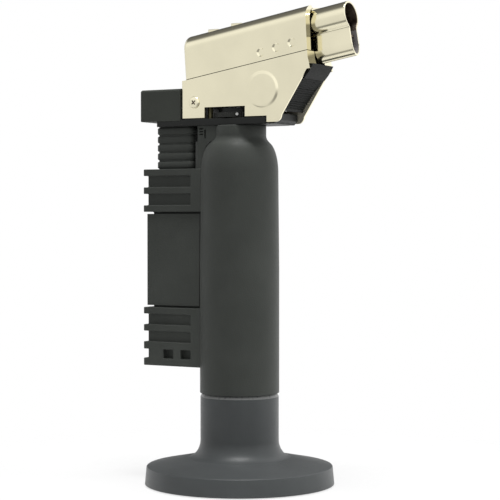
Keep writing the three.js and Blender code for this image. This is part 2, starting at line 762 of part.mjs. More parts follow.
// Finned housing
const panelTop = housingTop - (UPPER_FINS - 1) * UPPER_FIN_PITCH - FIN_HEIGHT - PANEL_GAP;
const panelBottom = housingBottom + (LOWER_FINS - 1) * LOWER_FIN_PITCH + FIN_HEIGHT + PANEL_GAP;
const panelHalf = halfHousing - PANEL_INSET;
const panelRear = HOUSING_DEPTH - PANEL_REAR_INSET;
const coreSide = panelHalf - PANEL_THICKNESS - FIT;
const coreRear = panelRear - PANEL_THICKNESS - FIT;
const outside = HOUSING_DEPTH + OVER;

// Everything outside a core of the given depth and half width, between two heights
function belt(depth, half, front, z0, z1) {
  const slab = box(-outside, -front, -halfHousing - OVER, halfHousing + OVER, z0, z1);
  return cut(slab, box(-depth, 0, -half, half, z0 - OVER, z1 + OVER));
}

function finGrooves() {
  const depth = HOUSING_DEPTH - FIN_DEPTH;
  const half = halfHousing - FIN_DEPTH;
  const upper = Array.from({ length: UPPER_FINS - 1 }, (_, i) => {
    const finBottom = housingTop - i * UPPER_FIN_PITCH - FIN_HEIGHT;
    return belt(depth, half, FIN_END, housingTop - (i + 1) * UPPER_FIN_PITCH, finBottom);
  });
  const lower = Array.from({ length: LOWER_FINS - 2 }, (_, i) => {
    const finTop = housingBottom + (i + 1) * LOWER_FIN_PITCH + FIN_HEIGHT;
    return belt(depth, half, FIN_END, finTop, housingBottom + (i + 2) * LOWER_FIN_PITCH);
  });
  return [...upper, ...lower];
}

// The lowest groove shows only at the rear, with two square pockets on each flank
function lowestRow() {
  const z0 = housingBottom + FIN_HEIGHT + FIT;
  const z1 = housingBottom + LOWER_FIN_PITCH - FIT;
  const bottom = halfHousing - POCKET_DEPTH;
  const pockets = [0, 1].flatMap((i) => {
    const front = -FIN_END - i * POCKET_PITCH;
    const near = box(front - POCKET_WIDTH, front, -halfHousing - OVER, -bottom, z0, z1);
    const far = box(front - POCKET_WIDTH, front, bottom, halfHousing + OVER, z0, z1);
    return [near, far];
  });
  const grooveEnd = HOUSING_DEPTH - 2 * FIN_DEPTH;
  const rearGroove = belt(HOUSING_DEPTH - FIN_DEPTH, halfHousing - FIN_DEPTH, grooveEnd, z0, z1);
  return [rearGroove, ...pockets];
}

const cavityRear = coreRear - HOUSING_WALL;
const cavityFront = PLUNGER_AXIS - PIEZO_RADIUS - FIT - WIRE_LANE;
const cavityHalf = PIEZO_RADIUS + FIT + WIRE_RADIUS;
const piezoBottom = piezoTop - PIEZO_LENGTH;
const shelfBottom = piezoBottom - PIEZO_SHELF;

function rearHousing() {
  const halfRibbed = RIBBED_WIDTH / 2;
  const blank = join(
    box(-HOUSING_DEPTH, -NECK_RADIUS / 2, -halfHousing, halfHousing, housingBottom, housingTop),
    box(-STRIP_REAR, -NECK_RADIUS / 2, -STRIP_WIDTH / 2, STRIP_WIDTH / 2, housingTop - OVER, neckTop),
    box(-STRIP_RIB_REAR, -NECK_RADIUS / 2, -halfRibbed, halfRibbed, housingTop - OVER, shoulderTop),
  );
  const halfSlot = STRIP_SLOT / 2;
  const slot = box(-HOUSING_DEPTH, 0, -halfSlot, halfSlot, housingTop, neckTop + OVER);
  const upperRoom = box(-cavityRear, -cavityFront, -cavityHalf, cavityHalf, piezoBottom, housingTop + OVER);
  const lowerFloor = housingBottom + HOUSING_FLOOR;
  const lowerRoom = box(-cavityRear, -cavityFront, -cavityHalf, cavityHalf, lowerFloor, shelfBottom);
  const drain = rod(PLUNGER_RADIUS, shelfBottom - OVER, piezoBottom + OVER).translate(-PLUNGER_AXIS, 0, 0);
  const panelRoom = belt(coreRear, coreSide, 0, panelBottom - PANEL_GAP, panelTop + PANEL_GAP);
  const rooms = [tankEnvelope(FIT), slot, upperRoom, lowerRoom, drain, panelRoom];
  return cut(blank, ...rooms, ...finGrooves(), ...lowestRow());
}

function labelPanel() {
  const blank = box(-panelRear, -NECK_RADIUS / 2, -panelHalf, panelHalf, panelBottom, panelTop);
  const half = coreSide + FIT;
  const room = box(-coreRear - FIT, 0, -half, half, panelBottom - OVER, panelTop + OVER);
  return cut(blank, room, tankEnvelope(FIT));
}

place("rear_housing", rearHousing(), darkCoat);
place("label_panel", labelPanel(), darkCoat);

// Piezo igniter: the slide's steep rear ramp pushes the plunger down
const plungerBore = PLUNGER_RADIUS + RUN;
const rampFall = Math.tan(PLUNGER_RAMP);
const plungerRampZ = slideAxis - PLUNGER_RADIUS;
const plungerTop = slideTop - 2 * RUN;
const plungerBottom = piezoTop - PLUNGER_ENTRY;

function piezoBody() {
  const floor = piezoTop - PIEZO_BORE_LENGTH;
  return turned(
    [
      [0, piezoBottom],
      [PIEZO_RADIUS, piezoBottom],
      [PIEZO_RADIUS, piezoTop],
      [plungerBore, piezoTop],
      [plungerBore, floor],
      [0, floor],
    ],
    SMALL_SEGMENTS,
  ).translate(-PLUNGER_AXIS, 0, 0);
}

// The steep plane that parts plunger and slide, as a wedge over the plunger
function rampWedge(lift) {
  const reach = 2 * CAP_HEIGHT;
  const low = plungerRampZ + lift - reach;
  return shapeOf([
    [-PLUNGER_AXIS + reach / rampFall, low],
    [-PLUNGER_AXIS - reach / rampFall, low + 2 * reach],
    [-PLUNGER_AXIS + reach / rampFall, low + 2 * reach],
  ]);
}

function piezoPlunger() {
  const stem = rod(PLUNGER_RADIUS, plungerBottom, plungerTop).translate(-PLUNGER_AXIS, 0, 0);
  return cut(stem, sidePlate(rampWedge(0), 4 * PLUNGER_RADIUS));
}

place("piezo_body", piezoBody(), blackPlastic);
place("piezo_plunger", piezoPlunger(), blackPlastic);

// Ribbed sleeve: stacked rounded ribs round a core, bored for plunger and wire
function ribbedSleeve() {
  const pitch = (neckTop - housingTop) / RIB_COUNT;
  const half = RIBBED_WIDTH / 2;
  const inner = roundedRectangle(
    -SLEEVE_REAR + RIB_DEPTH,
    -SLEEVE_FRONT - RIB_DEPTH,
    -half + RIB_DEPTH,
    half - RIB_DEPTH,
    RIBBED_CORNER - RIB_DEPTH,
  );
  const bevel = { bevelEnabled: true, bevelSize: RIB_DEPTH, bevelThickness: pitch / 4, bevelSegments: 2 };
  const ribs = Array.from({ length: RIB_COUNT }, (_, i) => {
    const rib = new THREE.ExtrudeGeometry(inner, { depth: pitch / 4, curveSegments: 2, ...bevel });
    return rib.translate(0, 0, housingTop + pitch * (i + 3 / 8));
  });
  const core = extruded(inner, neckTop - housingTop, 2);
  const bore = rod(plungerBore, housingTop - OVER, neckTop + OVER).translate(-PLUNGER_AXIS, 0, 0);
  return cut(join(core.translate(0, 0, housingTop), ...ribs), bore, wireHole());
}

place("ribbed_sleeve", ribbedSleeve(), darkCoat);

// Trigger outline: a curved face, worked out from its front line
const faceLine = new THREE.SplineCurve([
  new THREE.Vector2(FACE_LOW_X, plateTop + FACE_LOW_RISE),
  new THREE.Vector2(FACE_MID_X, plateTop + FACE_MID_RISE),
  new THREE.Vector2(FACE_HIGH_X, plateTop + FACE_HIGH_RISE),
  new THREE.Vector2(FACE_LIP_X, plateTop + FACE_LIP_RISE),
]);

// Head frame: plate, nose, pillars, a decked channel for the slide and two ears for the trigger's pin
function noseBlock() {
  const top = plateTop + NOSE_RISE;
  const outline = shapeOf([
    [FRONT_PILLAR_REAR, neckTop],
    [NOSE_FRONT - NOSE_CHAMFER, neckTop],
    [NOSE_FRONT, neckTop + NOSE_CHAMFER],
    [NOSE_FRONT, top],
    [FRONT_PILLAR_REAR, top],
  ]);
  return sidePlate(outline, 2 * coreHalf);
}

function earPair() {
  const shoulderX = RAIL_FRONT - EAR_ROOT;
  const root = railTop - RAIL_HEIGHT / 2;
  const arm = shapeOf([
    [shoulderX, root],
    [RAIL_FRONT, root],
    onCircle(PIN_X, pinZ, EAR_RADIUS, EAR_ARM_LOW),
    [PIN_X, pinZ],
    onCircle(PIN_X, pinZ, EAR_RADIUS, EAR_ARM_HIGH),
    [CRADLE_FRONT + 2 * FIT, railTop],
    [shoulderX, railTop],
  ]);
  const plates = join(
    sidePlate(arm, 2 * coreHalf),
    across(rod(EAR_RADIUS, -coreHalf, coreHalf)).translate(PIN_X, 0, pinZ),
  );
  const gap = coreHalf - EAR_THICKNESS;
  const front = PIN_X + 2 * EAR_RADIUS;
  return cut(plates, box(RAIL_FRONT, front, -gap, gap, root - OVER, pinZ + 2 * EAR_RADIUS));
}

function screwRod(radius, side, inner, outer) {
  const shank = across(rod(radius, inner, outer)).translate(SCREW_X, 0, screwZ);
  return side < 0 ? shank : shank.rotateX(Math.PI).translate(0, 0, 2 * screwZ);
}

function headFrame() {
  const plateRear = -SHELL_REAR - FIT;
  const rearPlate = box(-PLATE_REAR, plateRear + OVER, -halfHead, halfHead, neckTop, capSeat);
  const plate = box(plateRear, PLATE_FRONT, -halfHead, halfHead, neckTop, plateTop);
  const rearPillar = box(-RAIL_REAR, -REAR_PILLAR_FRONT, -coreHalf, coreHalf, plateTop - OVER, deckTop);
  const frontPillar = box(FRONT_PILLAR_REAR, RAIL_FRONT, -coreHalf, coreHalf, plateTop - OVER, deckTop);
  const deck = box(-RAIL_REAR, RAIL_FRONT, -coreHalf, coreHalf, deckBottom, railTop);
  const channelRear = -RAIL_REAR - OVER;
  const channel = box(channelRear, RAIL_FRONT + OVER, -channelHalf, channelHalf, deckTop, railTop + OVER);
  const body = join(rearPlate, plate, rearPillar, frontPillar, deck, noseBlock(), earPair());
  const valveHole = rod(VALVE_SHAFT + FIT, neckTop - OVER, plateTop + OVER);
  const flangeSeat = rod(VALVE_FLANGE + FIT, plateTop - VALVE_FLANGE_HEIGHT, plateTop + FIT);
  const stemHole = rod(VALVE_STEM_RADIUS + RUN, deckBottom - OVER, deckTop + OVER);
  const plungerHole = rod(plungerBore, neckTop - OVER, plateTop + OVER).translate(-PLUNGER_AXIS, 0, 0);
  const pinHole = across(rod(PIN_RADIUS + FIT, -halfHead, halfHead)).translate(PIN_X, 0, pinZ);
  const thread = SCREW_LENGTH + SHELL_WALL;
  const screwHoles = [-1, 1].map((side) => screwRod(SCREW_RADIUS + FIT, side, halfHead - thread, halfHead));
  const holes = [valveHole, flangeSeat, stemHole, plungerHole, pinHole, ...screwHoles, gasHole(), wireHole()];
  return cut(body, channel, ...holes);
}

place("head_frame", headFrame(), blackPlastic);

// Rear cap: a block hollowed for the slide's rear end
function rearCap() {
  const top = capSeat + CAP_HEIGHT;
  const front = -SHELL_REAR - FIT;
  const half = CAP_CAVITY_WIDTH / 2;
  const block = box(-CAP_REAR, front, -halfHead, halfHead, capSeat, top);
  return cut(block, box(-CAP_CAVITY_REAR, front + OVER, -half, half, capSeat - OVER, top - CAP_WALL));
}

place("rear_cap", rearCap(), blackPlastic);

// Plated shells: pressed sheet, open inside
function lowerOutline(inset) {
  const toeBottom = plateTop - TOE_DROP;
  const toeBack = PLATE_FRONT + FIT;
  const shape = new THREE.Shape();
  shape.moveTo(-SHELL_REAR + inset, shellBottom);
  shape.lineTo(toeBack, shellBottom);
  shape.lineTo(toeBack, toeBottom);
  shape.lineTo(TOE_FRONT - TOE_ROUND, toeBottom);
  shape.quadraticCurveTo(TOE_FRONT, toeBottom, TOE_FRONT, toeBottom + TOE_ROUND);
  shape.lineTo(BROW_FRONT, plateTop + BROW_RISE);
  shape.lineTo(SHELL_FRONT, seamZ(SHELL_FRONT));
  shape.lineTo(-SHELL_REAR + inset, seamZ(-SHELL_REAR + inset));
  return shape;
}

function raisedDisc() {
  const reach = halfHead + DISC_RELIEF;
  const drum = across(rod(DISC_RADIUS, -reach, reach, LARGE_SEGMENTS));
  const placed = drum.translate(DISC_X, 0, plateTop + DISC_RISE);
  return cut(placed, box(0, 2 * DISC_X, -halfHead + FIT, halfHead - FIT, neckTop, railTop + DISC_RADIUS));
}

// Two flanks joined by a rear wall
function lowerShell() {
  const outer = sidePlate(lowerOutline(0), HEAD_WIDTH);
  const reach = SHELL_FRONT + OVER;
  const rear = -SHELL_REAR + SHELL_WALL;
  const inner = box(rear, reach, -flankInner, flankInner, neckTop - TOE_DROP, railTop + reach);
  const window = box(-WINDOW_REAR, WINDOW_FRONT, -halfHead - OVER, halfHead + OVER, neckTop, windowTop);
  const slot = box(-SHELL_REAR - OVER, rear + OVER, -channelHalf, channelHalf, deckTop, slideTop + RUN);
  const hole = [flankInner - OVER, halfHead + OVER];
  const screwHoles = [-1, 1].map((side) => screwRod(SCREW_RADIUS + FIT, side, ...hole));
  const discs = raisedDisc();
  return join(cut(outer, inner, window, slot, ...screwHoles), discs);
}

function hoodOutline(inset) {
  const crest = (x) => seamZ(x) + HOOD_HEIGHT - inset;
  const rear = -HOOD_REAR + inset;
  const topRear = rear - HOOD_REAR_LEAN;
  const bottom = inset > 0 ? -SEAM_LINE : SEAM_LINE;
  const shape = new THREE.Shape();
  shape.moveTo(rear, seamZ(rear) + bottom);
  shape.lineTo(SHELL_FRONT + inset, seamZ(SHELL_FRONT + inset) + bottom);
  shape.lineTo(SHELL_FRONT + inset, crest(SHELL_FRONT + inset));
  shape.lineTo(topRear + HOOD_REAR_ROUND, crest(topRear + HOOD_REAR_ROUND));
  shape.quadraticCurveTo(topRear, crest(topRear), topRear, crest(topRear) - HOOD_REAR_ROUND);
  return shape;
}

// The hood's cross-section, swept along the tilted head
function loaf(inset) {
  const half = halfHead - inset;
  const top = (HOOD_HEIGHT - inset) * Math.cos(HEAD_TILT);
  const corner = HOOD_ROUND - inset;
  const shape = new THREE.Shape();
  shape.moveTo(-half, -SEAM_RISE);
  shape.lineTo(half, -SEAM_RISE);
  shape.absarc(half - corner, top - corner, corner, 0, Math.PI / 2);
  shape.absarc(-half + corner, top - corner, corner, Math.PI / 2, Math.PI);
  return tiltedPlace(along(shape, -2 * HOOD_REAR, 2 * SHELL_FRONT));
}

function louvre(x) {
  const bump = across(rod(LOUVRE_LENGTH / 2, -LOUVRE_WIDTH / 2, LOUVRE_WIDTH / 2));
  const squeeze = (LOUVRE_HEIGHT + SHELL_WALL / 2) / (LOUVRE_LENGTH / 2);
  const crest = seamZ(x) + HOOD_HEIGHT - SHELL_WALL / 2;
  const flat = bump.scale(1, 1, squeeze).rotateY(-HEAD_TILT).translate(x, 0, crest);
  return cut(flat, loaf(SHELL_WALL / 2));
}

function upperShell() {
  const outer = common(sidePlate(hoodOutline(0), HEAD_WIDTH), loaf(0));
  const inner = common(sidePlate(hoodOutline(SHELL_WALL), HEAD_WIDTH), loaf(SHELL_WALL));
  return join(cut(outer, inner), louvre(LOUVRE_REAR), louvre(LOUVRE_FRONT));
}

place("lower_shell", lowerShell(), champagne);
place("upper_shell", upperShell(), champagne);

function shellScrew(side) {
  const inner = halfHead - SCREW_LENGTH;
  const head = screwRod(SCREW_HEAD_RADIUS, side, halfHead, halfHead + SCREW_HEAD_HEIGHT);
  const crossFloor = halfHead + SCREW_HEAD_HEIGHT - CROSS_DEPTH;
  const crossTop = halfHead + SCREW_HEAD_HEIGHT + OVER;
  const y0 = side < 0 ? -crossTop : crossFloor;
  const y1 = side < 0 ? -crossFloor : crossTop;
  const bar = (length, height) =>
    box(SCREW_X - length / 2, SCREW_X + length / 2, y0, y1, screwZ - height / 2, screwZ + height / 2);
  const cross = [bar(CROSS_LENGTH, CROSS_WIDTH), bar(CROSS_WIDTH, CROSS_LENGTH)];
  return cut(join(head, screwRod(SCREW_RADIUS, side, inner, crossFloor)), ...cross);
}

place("shell_screw_near", shellScrew(-1), steel);
place("shell_screw_far", shellScrew(1), steel);

// Nozzle guard: a keyhole section, round above and a narrow round-ended web below
function keyhole(grow) {
  const radius = GUARD_RADIUS + grow;
  const half = WEB_WIDTH / 2 + grow;
  const fillet = WAIST_FILLET - grow;
  const bottom = -GUARD_DROP - grow;
  const filletX = half + fillet;
  const filletZ = -Math.sqrt((radius + fillet) ** 2 - filletX ** 2);
  const meet = Math.atan2(filletZ, filletX);
  const shape = new THREE.Shape();
  shape.absarc(0, 0, radius, meet, Math.PI - meet, false);
  shape.absarc(-filletX, filletZ, fillet, -meet, 0, true);
  shape.absarc(0, bottom + half, half, Math.PI, 2 * Math.PI, false);
  shape.absarc(filletX, filletZ, fillet, Math.PI, Math.PI + meet, true);
  return shape;
}

const guardRear = MOUTH_REACH - GUARD_LENGTH;
const guardBlank = (grow, x0, x1) => along(keyhole(grow), x0, x1).translate(0, 0, NOZZLE_RISE);

function nozzleGuard() {
  const room = guardBlank(-GUARD_WALL, guardRear - OVER, MOUTH_REACH + OVER);
  return cut(guardBlank(0, guardRear, MOUTH_REACH), room);
}

const guardRoom = (rear) => tiltedPlace(guardBlank(FIT, rear, MOUTH_REACH + OVER));

function guardDivider() {
  const half = WEB_WIDTH / 2 - GUARD_WALL - FIT;
  const z0 = NOZZLE_RISE - DIVIDER_DROP - DIVIDER_THICKNESS / 2;
  const front = MOUTH_REACH - DIVIDER_SETBACK;
  return box(front - DIVIDER_LENGTH, front, -half, half, z0, z0 + DIVIDER_THICKNESS);
}

place("nozzle_guard", nozzleGuard(), champagne, tilted);
place("guard_divider", guardDivider(), champagne, tilted);

// Burner: jet, mixing tube and flame holder on the nozzle axis
const onAxis = (profile) => lengthwise(turned(profile, SMALL_SEGMENTS)).translate(0, 0, NOZZLE_RISE);
const holderFront = MOUTH_REACH - HOLDER_SETBACK;
const holderRear = holderFront - HOLDER_LENGTH;
const mixingEnd = holderRear + HOLDER_SOCKET;

function mixingTube() {
  const inner = MIXING_RADIUS - MIXING_WALL;
  return onAxis([
    [inner, MIXING_START],
    [MIXING_RADIUS, MIXING_START],
    [MIXING_RADIUS, mixingEnd],
    [inner, mixingEnd],
    [inner, MIXING_START],
  ]);
}

function flameHolder() {
  const outer = GUARD_RADIUS - GUARD_WALL - FIT;
  const socket = MIXING_RADIUS + FIT;
  const throat = MIXING_RADIUS - MIXING_WALL;
  const cup = outer - MIXING_WALL;
  return onAxis([
    [socket, holderRear],
    [outer, holderRear],
    [outer, holderFront],
    [cup, holderFront],
    [throat, mixingEnd + FIT + HOLDER_THROAT],
    [throat, mixingEnd + FIT],
    [socket, mixingEnd + FIT],
    [socket, holderRear],
  ]);
}

function gasJet() {
  return onAxis([
    [0, -JET_LENGTH],
    [JET_RADIUS, -JET_LENGTH],
    [JET_RADIUS, 0],
    [JET_TIP_RADIUS, JET_TAPER],
    [JET_TIP_RADIUS, JET_TIP_LENGTH],
    [0, JET_TIP_LENGTH],
  ]);
}

place("mixing_tube", mixingTube(), steel, tilted);
place("flame_holder", flameHolder(), heatedSteel, tilted);
place("gas_jet", gasJet(), brass, tilted);

// Spark electrode in its ceramic sleeve, under the mixing tube
const insulatorEnd = insulatorStart + INSULATOR_LENGTH;

function electrodeInsulator() {
  const inner = ELECTRODE_RADIUS + FIT;
  const sleeve = tube(inner, INSULATOR_RADIUS, insulatorStart, insulatorEnd);
  return lengthwise(sleeve).translate(0, 0, electrodeHeight);
}

function electrode() {
  const tip = holderFront + ELECTRODE_TIP_RISE;
  const path = [
    [insulatorStart + FIT, 0, electrodeHeight],
    [(insulatorStart + insulatorEnd) / 2, 0, electrodeHeight],
    [insulatorEnd, 0, electrodeHeight],
    [holderFront, 0, electrodeHeight],
    [tip, 0, electrodeHeight + ELECTRODE_TIP_RISE],
  ];
  return swept(path, ELECTRODE_RADIUS, LINE_SIDES, GAS_TUBE_STEPS);
}

place("electrode_insulator", electrodeInsulator(), ceramic, tilted);
place("electrode", electrode(), steel, tilted);

// Burner cradle: a base on the frame's rails, a saddle for the jet and a socket for the guard's rear end
function burnerCradle() {
  const baseTop = railTop + CRADLE_BASE;
  const frontRear = CRADLE_FRONT - SOCKET_WALL_LENGTH;
  const saddleFront = -CRADLE_REAR + SADDLE_LENGTH;
  const saddleTop = seamZ(-CRADLE_REAR / 2) + NOZZLE_RISE;
  const frontTop = seamZ(frontRear) + NOZZLE_RISE;
  const base = box(-CRADLE_REAR, CRADLE_FRONT, -coreHalf, coreHalf, railTop, baseTop);
  const saddle = box(-CRADLE_REAR, saddleFront, -coreHalf, coreHalf, railTop, saddleTop);
  const front = box(frontRear, CRADLE_FRONT, -coreHalf, coreHalf, railTop, frontTop);
  const burnerRoom = tiltedPlace(
    lengthwise(rod(JET_RADIUS + FIT, -2 * JET_LENGTH, 2 * SHELL_FRONT)).translate(0, 0, NOZZLE_RISE),
  );
  return cut(join(base, saddle, front), burnerRoom, guardRoom(guardRear - FIT), gasHole(), wireHole());
}

place("burner_cradle", burnerCradle(), blackPlastic);

// Trigger: a curved face plate, a knuckle on the pin and a nose that pushes the slide
function faceBack(share) {
  const point = faceLine.getPointAt(share);
  const way = faceLine.getTangentAt(share);
  return new THREE.Vector2(point.x - way.y * FACE_THICKNESS, point.y + way.x * FACE_THICKNESS);
}

function faceOutline() {
  const shares = Array.from({ length: 2 * ARC_STEPS + 1 }, (_, i) => i / (2 * ARC_STEPS));
  const front = shares.map((share) => faceLine.getPointAt(share));
  const back = shares.map(faceBack);
  return new THREE.Shape([...front, ...back.reverse()]);
}

function triggerWeb() {
  const [low, high] = [TRIGGER_WEB_LOW, TRIGGER_WEB_HIGH].map((share) => faceLine.getPointAt(share));
  const root = KNUCKLE_RADIUS - FIT;
  return shapeOf([
    [low.x - FACE_THICKNESS / 2, low.y + FACE_THICKNESS / 2],
    [high.x - FACE_THICKNESS / 2, high.y + FACE_THICKNESS / 2],
    onCircle(PIN_X, pinZ, root, TRIGGER_WEB_TURN),
    onCircle(PIN_X, pinZ, root, TRIGGER_WEB_TURN + Math.PI),
  ]);
}

function trigger() {
  const half = KNUCKLE_WIDTH / 2;
  const face = sidePlate(faceOutline(), 2 * (flankInner - RUN));
  const knuckle = across(rod(KNUCKLE_RADIUS, -half, half)).translate(PIN_X, 0, pinZ);
  const noseHalf = SLIDE_WIDTH / 2;
  const nose = across(rod(TRIGGER_NOSE_RADIUS, -noseHalf, noseHalf)).translate(TRIGGER_NOSE_X, 0, slideAxis);
  const body = join(face, knuckle, nose, sidePlate(triggerWeb(), KNUCKLE_WIDTH));
  const pinHole = across(rod(PIN_RADIUS + FIT, -halfHead, halfHead)).translate(PIN_X, 0, pinZ);
  const earRoom = cut(
    across(rod(EAR_RADIUS + RUN, -halfHead, halfHead)).translate(PIN_X, 0, pinZ),
    box(0, 2 * PIN_X, -half, half, plateTop, pinZ + 2 * PIN_X),
  );
  return cut(body, pinHole, earRoom, tiltedPlace(guardBlank(2 * FIT, guardRear, 2 * MOUTH_REACH)));
}

function triggerSpring() {
  const z = plateTop + FACE_LOW_RISE + TRIGGER_SPRING_RADIUS;
  const room = faceBack(0).x - RAIL_FRONT;
  const radius = TRIGGER_SPRING_RADIUS - TRIGGER_SPRING_WIRE;
  const coil = ["trigger_spring", radius, TRIGGER_SPRING_WIRE, 0, room, TRIGGER_SPRING_TURNS];
  return lengthwise(spring(...coil)).translate(RAIL_FRONT, 0, z);
}

place("trigger", trigger(), blackPlastic);
place("trigger_pin", across(rod(PIN_RADIUS, -coreHalf, coreHalf)).translate(PIN_X, 0, pinZ), steel);
place("trigger_spring", triggerSpring(), steel);

// Cam slide: pushed back by the trigger's nose; one ramp lifts the valve stem, one drives the plunger down
function pushSlide() {
  const front = TRIGGER_NOSE_X - TRIGGER_NOSE_RADIUS - FIT;
  const hookFront = -SHELL_REAR - 2 * FIT;
  const rampRear = -STEM_HEAD_LENGTH / 2 - RUN;
  const rampFront = STEM_HEAD_LENGTH / 2 + SLIDE_TRAVEL + RUN;
  const rampZ = (x) => stemRampZ - FIT + x * rampLift;
  const rear = -PLUNGER_AXIS - 2 * PLUNGER_RADIUS;
  const outline = shapeOf([
    [hookFront, slideBottom],
    [front - SLIDE_CHAMFER, slideBottom],
    [front, slideBottom + SLIDE_CHAMFER],
    [front, slideTop],
    [rampFront, slideTop],
    [rampFront, rampZ(rampFront)],
    [rampRear, rampZ(rampRear)],
    [rampRear, slideTop],
    [rear, slideTop],
    [rear, capSeat + RUN],
    [hookFront, capSeat + RUN],
  ]);
  const bar = sidePlate(outline, SLIDE_WIDTH);
  const stemSlot = box(
    -VALVE_STEM_RADIUS - RUN,
    VALVE_STEM_RADIUS + SLIDE_TRAVEL + RUN,
    -VALVE_STEM_RADIUS - RUN,
    VALVE_STEM_RADIUS + RUN,
    deckTop,
    railTop,
  );
  const wedge = sidePlate(rampWedge(FIT / Math.cos(PLUNGER_RAMP)), SLIDE_WIDTH);
  const tail = common(bar, join(wedge, box(hookFront, front, -SLIDE_WIDTH, SLIDE_WIDTH, neckTop, railTop)));
  return cut(tail, stemSlot);
}

place("push_slide", pushSlide(), steel);

export default torch;
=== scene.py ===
import math

import bmesh
import bpy
from mathutils import Matrix, Vector


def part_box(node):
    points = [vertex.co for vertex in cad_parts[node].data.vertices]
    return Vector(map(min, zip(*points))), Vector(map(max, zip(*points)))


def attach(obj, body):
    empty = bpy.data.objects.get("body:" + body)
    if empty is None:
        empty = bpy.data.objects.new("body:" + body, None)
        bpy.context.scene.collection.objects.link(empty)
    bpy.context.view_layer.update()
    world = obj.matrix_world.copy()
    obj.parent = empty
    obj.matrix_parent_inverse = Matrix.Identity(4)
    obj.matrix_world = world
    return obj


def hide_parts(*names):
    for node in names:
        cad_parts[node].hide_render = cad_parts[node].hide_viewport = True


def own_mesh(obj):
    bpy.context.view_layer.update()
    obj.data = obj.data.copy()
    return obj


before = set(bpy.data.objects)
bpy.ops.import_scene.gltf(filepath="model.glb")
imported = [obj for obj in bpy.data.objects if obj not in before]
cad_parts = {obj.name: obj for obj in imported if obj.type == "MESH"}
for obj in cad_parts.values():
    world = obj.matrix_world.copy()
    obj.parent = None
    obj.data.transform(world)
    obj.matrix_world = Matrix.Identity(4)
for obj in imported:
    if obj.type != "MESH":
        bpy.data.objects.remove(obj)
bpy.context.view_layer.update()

# Shapes are worked out in millimetres, as in the solids, and brought to metres at the end
MM = 0.001
MERGE = 1e-3
FIT = 0.3
CUT_PAST = 1

# Stand and tank
FOOT_RADIUS = 34.9
FOOT_LIFT = 0.4
FOOT_DRAFT = 0.6
FOOT_ROUND = 0.4
RIM_TOP = 6.9
CONE_RADIUS = 20
CONE_TOP = 9.8
FLARE_RISE = 6.7
SLEEVE_RADIUS = 14.45
SLEEVE_CHAMFER = 1.2
SLEEVE_ROUND = 0.1
JOINT_RADIUS = 13.8
SOLE_RADIUS = 30.5
SOLE_THICKNESS = 1.3
SOLE_ROUND = 0.15
SOLE_GROOVES = (10, 15, 20, 25)
GROOVE_WIDTH = 1
GROOVE_SLOPE = 0.2
GROOVE_DEPTH = 0.5
SOCKET_RADIUS = 12.15
SOCKET_FLOOR = 9.65
JOINT_Z = 33.65
TANK_BOTTOM = 13.65
TANK_RADIUS = 14.6
TANK_TOP_RADIUS = 14.27
TANK_WALL = 1.7
TANK_CHAMFER = 0.2
TANK_ROUND = 0.15
SPIGOT_RADIUS = 11.9
SPIGOT_BORE = 9.5
GRIP_GROOVE = (25.8, 27.5, 10.45)
TANK_STEPS = 192
TAPER_START = 79.65
SHOULDER_BASE = 114.65
SHOULDER_TOP = 126.15
NECK_RADIUS = 9.8
NECK_BORE = 6.5
NECK_TOP = 131.9
NECK_ROUND = 0.4
NECK_FILLET_START = 0.8
NECK_FILLET_TOP = 128.2
NECK_FILLET_STEPS = 8

# Housing, sleeve and head
HOUSING_TOP = 116.2
GAP_CLOSED = 0.8
FINS_BEHIND = -15.3
FIN_ROUND = 0.35
PANEL_REACH = 0.35
PANEL_BEHIND = -12.5
PANEL_BESIDE = 7
PANEL_ROUND = 0.25
STRIP_SIDE = 8.5
STRIP_RECESS = 0.7
STRIP_SLOTS = (128.7, 129.7, 130.7)
STRIP_SLOT_ENDS = (-12.2, -10.5)
STRIP_SLOT_HALF = 0.25
STRIP_UPRIGHT_ENDS = (-10.1, -9.3)
STRIP_UPRIGHT_HEIGHTS = (127.2, 130.4)
SLEEVE_REAR = -31.9
SLEEVE_FRONT = -15.8
SLEEVE_HALF = 7.5
SLEEVE_CORNER = 2.4
RIBS = 5
RIB_DEPTH = 0.42
RIB_EDGE = 0.07
RIB_EDGE_SHARE = 0.7
PLUNGER_X = -22.75
PLUNGER_BORE = 2.9
WIRE_LANE = (-17.45, 4.35)
WIRE_BORE = 0.95
CAP_ROUND = 0.9
PLATE_TOP = 134.4
PLATE_BESIDE = 7.5
PLATE_ROUND = 0.25
HALF_HEAD = 9
SHELL_WALL = 0.8
SHELL_ROUND = 0.35
SHELL_REAR = -19.9
SHELL_FRONT = 32.8
SHELL_BOTTOM = 134.7
SHELL_BEND = 1.3
SLIDE_SLOT = (139.7, 144.1)
SLIDE_HALF = 3.2
WINDOW_REAR = -9.6
WINDOW_FRONT = 7.4
WINDOW_TOP = 138.5
TOE_BACK = 16.4
TOE_BOTTOM = 132.4
TOE_FRONT = 22.4
TOE_ROUND = 2.4
BROW = (32.6, 150.7)
BROW_NOSE = ((33.9, 150.9), (33.6, 152.7), (33.0, 154.9))
FLANGE_END = -3.4
HEAD_TILT = math.radians(9.6)
SEAM_AT_AXIS = 152.04
SEAM_LOW = -0.33
SEAM_HIGH = -0.08
SEAM_NEAR = 0.8
HOOD_HEIGHT = 16.15
HOOD_REAR = -18.4
HOOD_LEAN = 1.1
HOOD_ROUND = 4.8
HOOD_REAR_ROUND = 1.9
HOOD_LIP = 0.9
HOOD_MOUTH_SHARE = 0.72
HOOD_FRONT_LEAN = 0.9
HOOD_SCOOP = 1.8
SCOOP_CUTS = 9
HOOD_SHARP = math.radians(30)
FLAT_FLANK = 0.9999
DISC = (14.6, 144.1)
DISC_RADIUS = 6.15
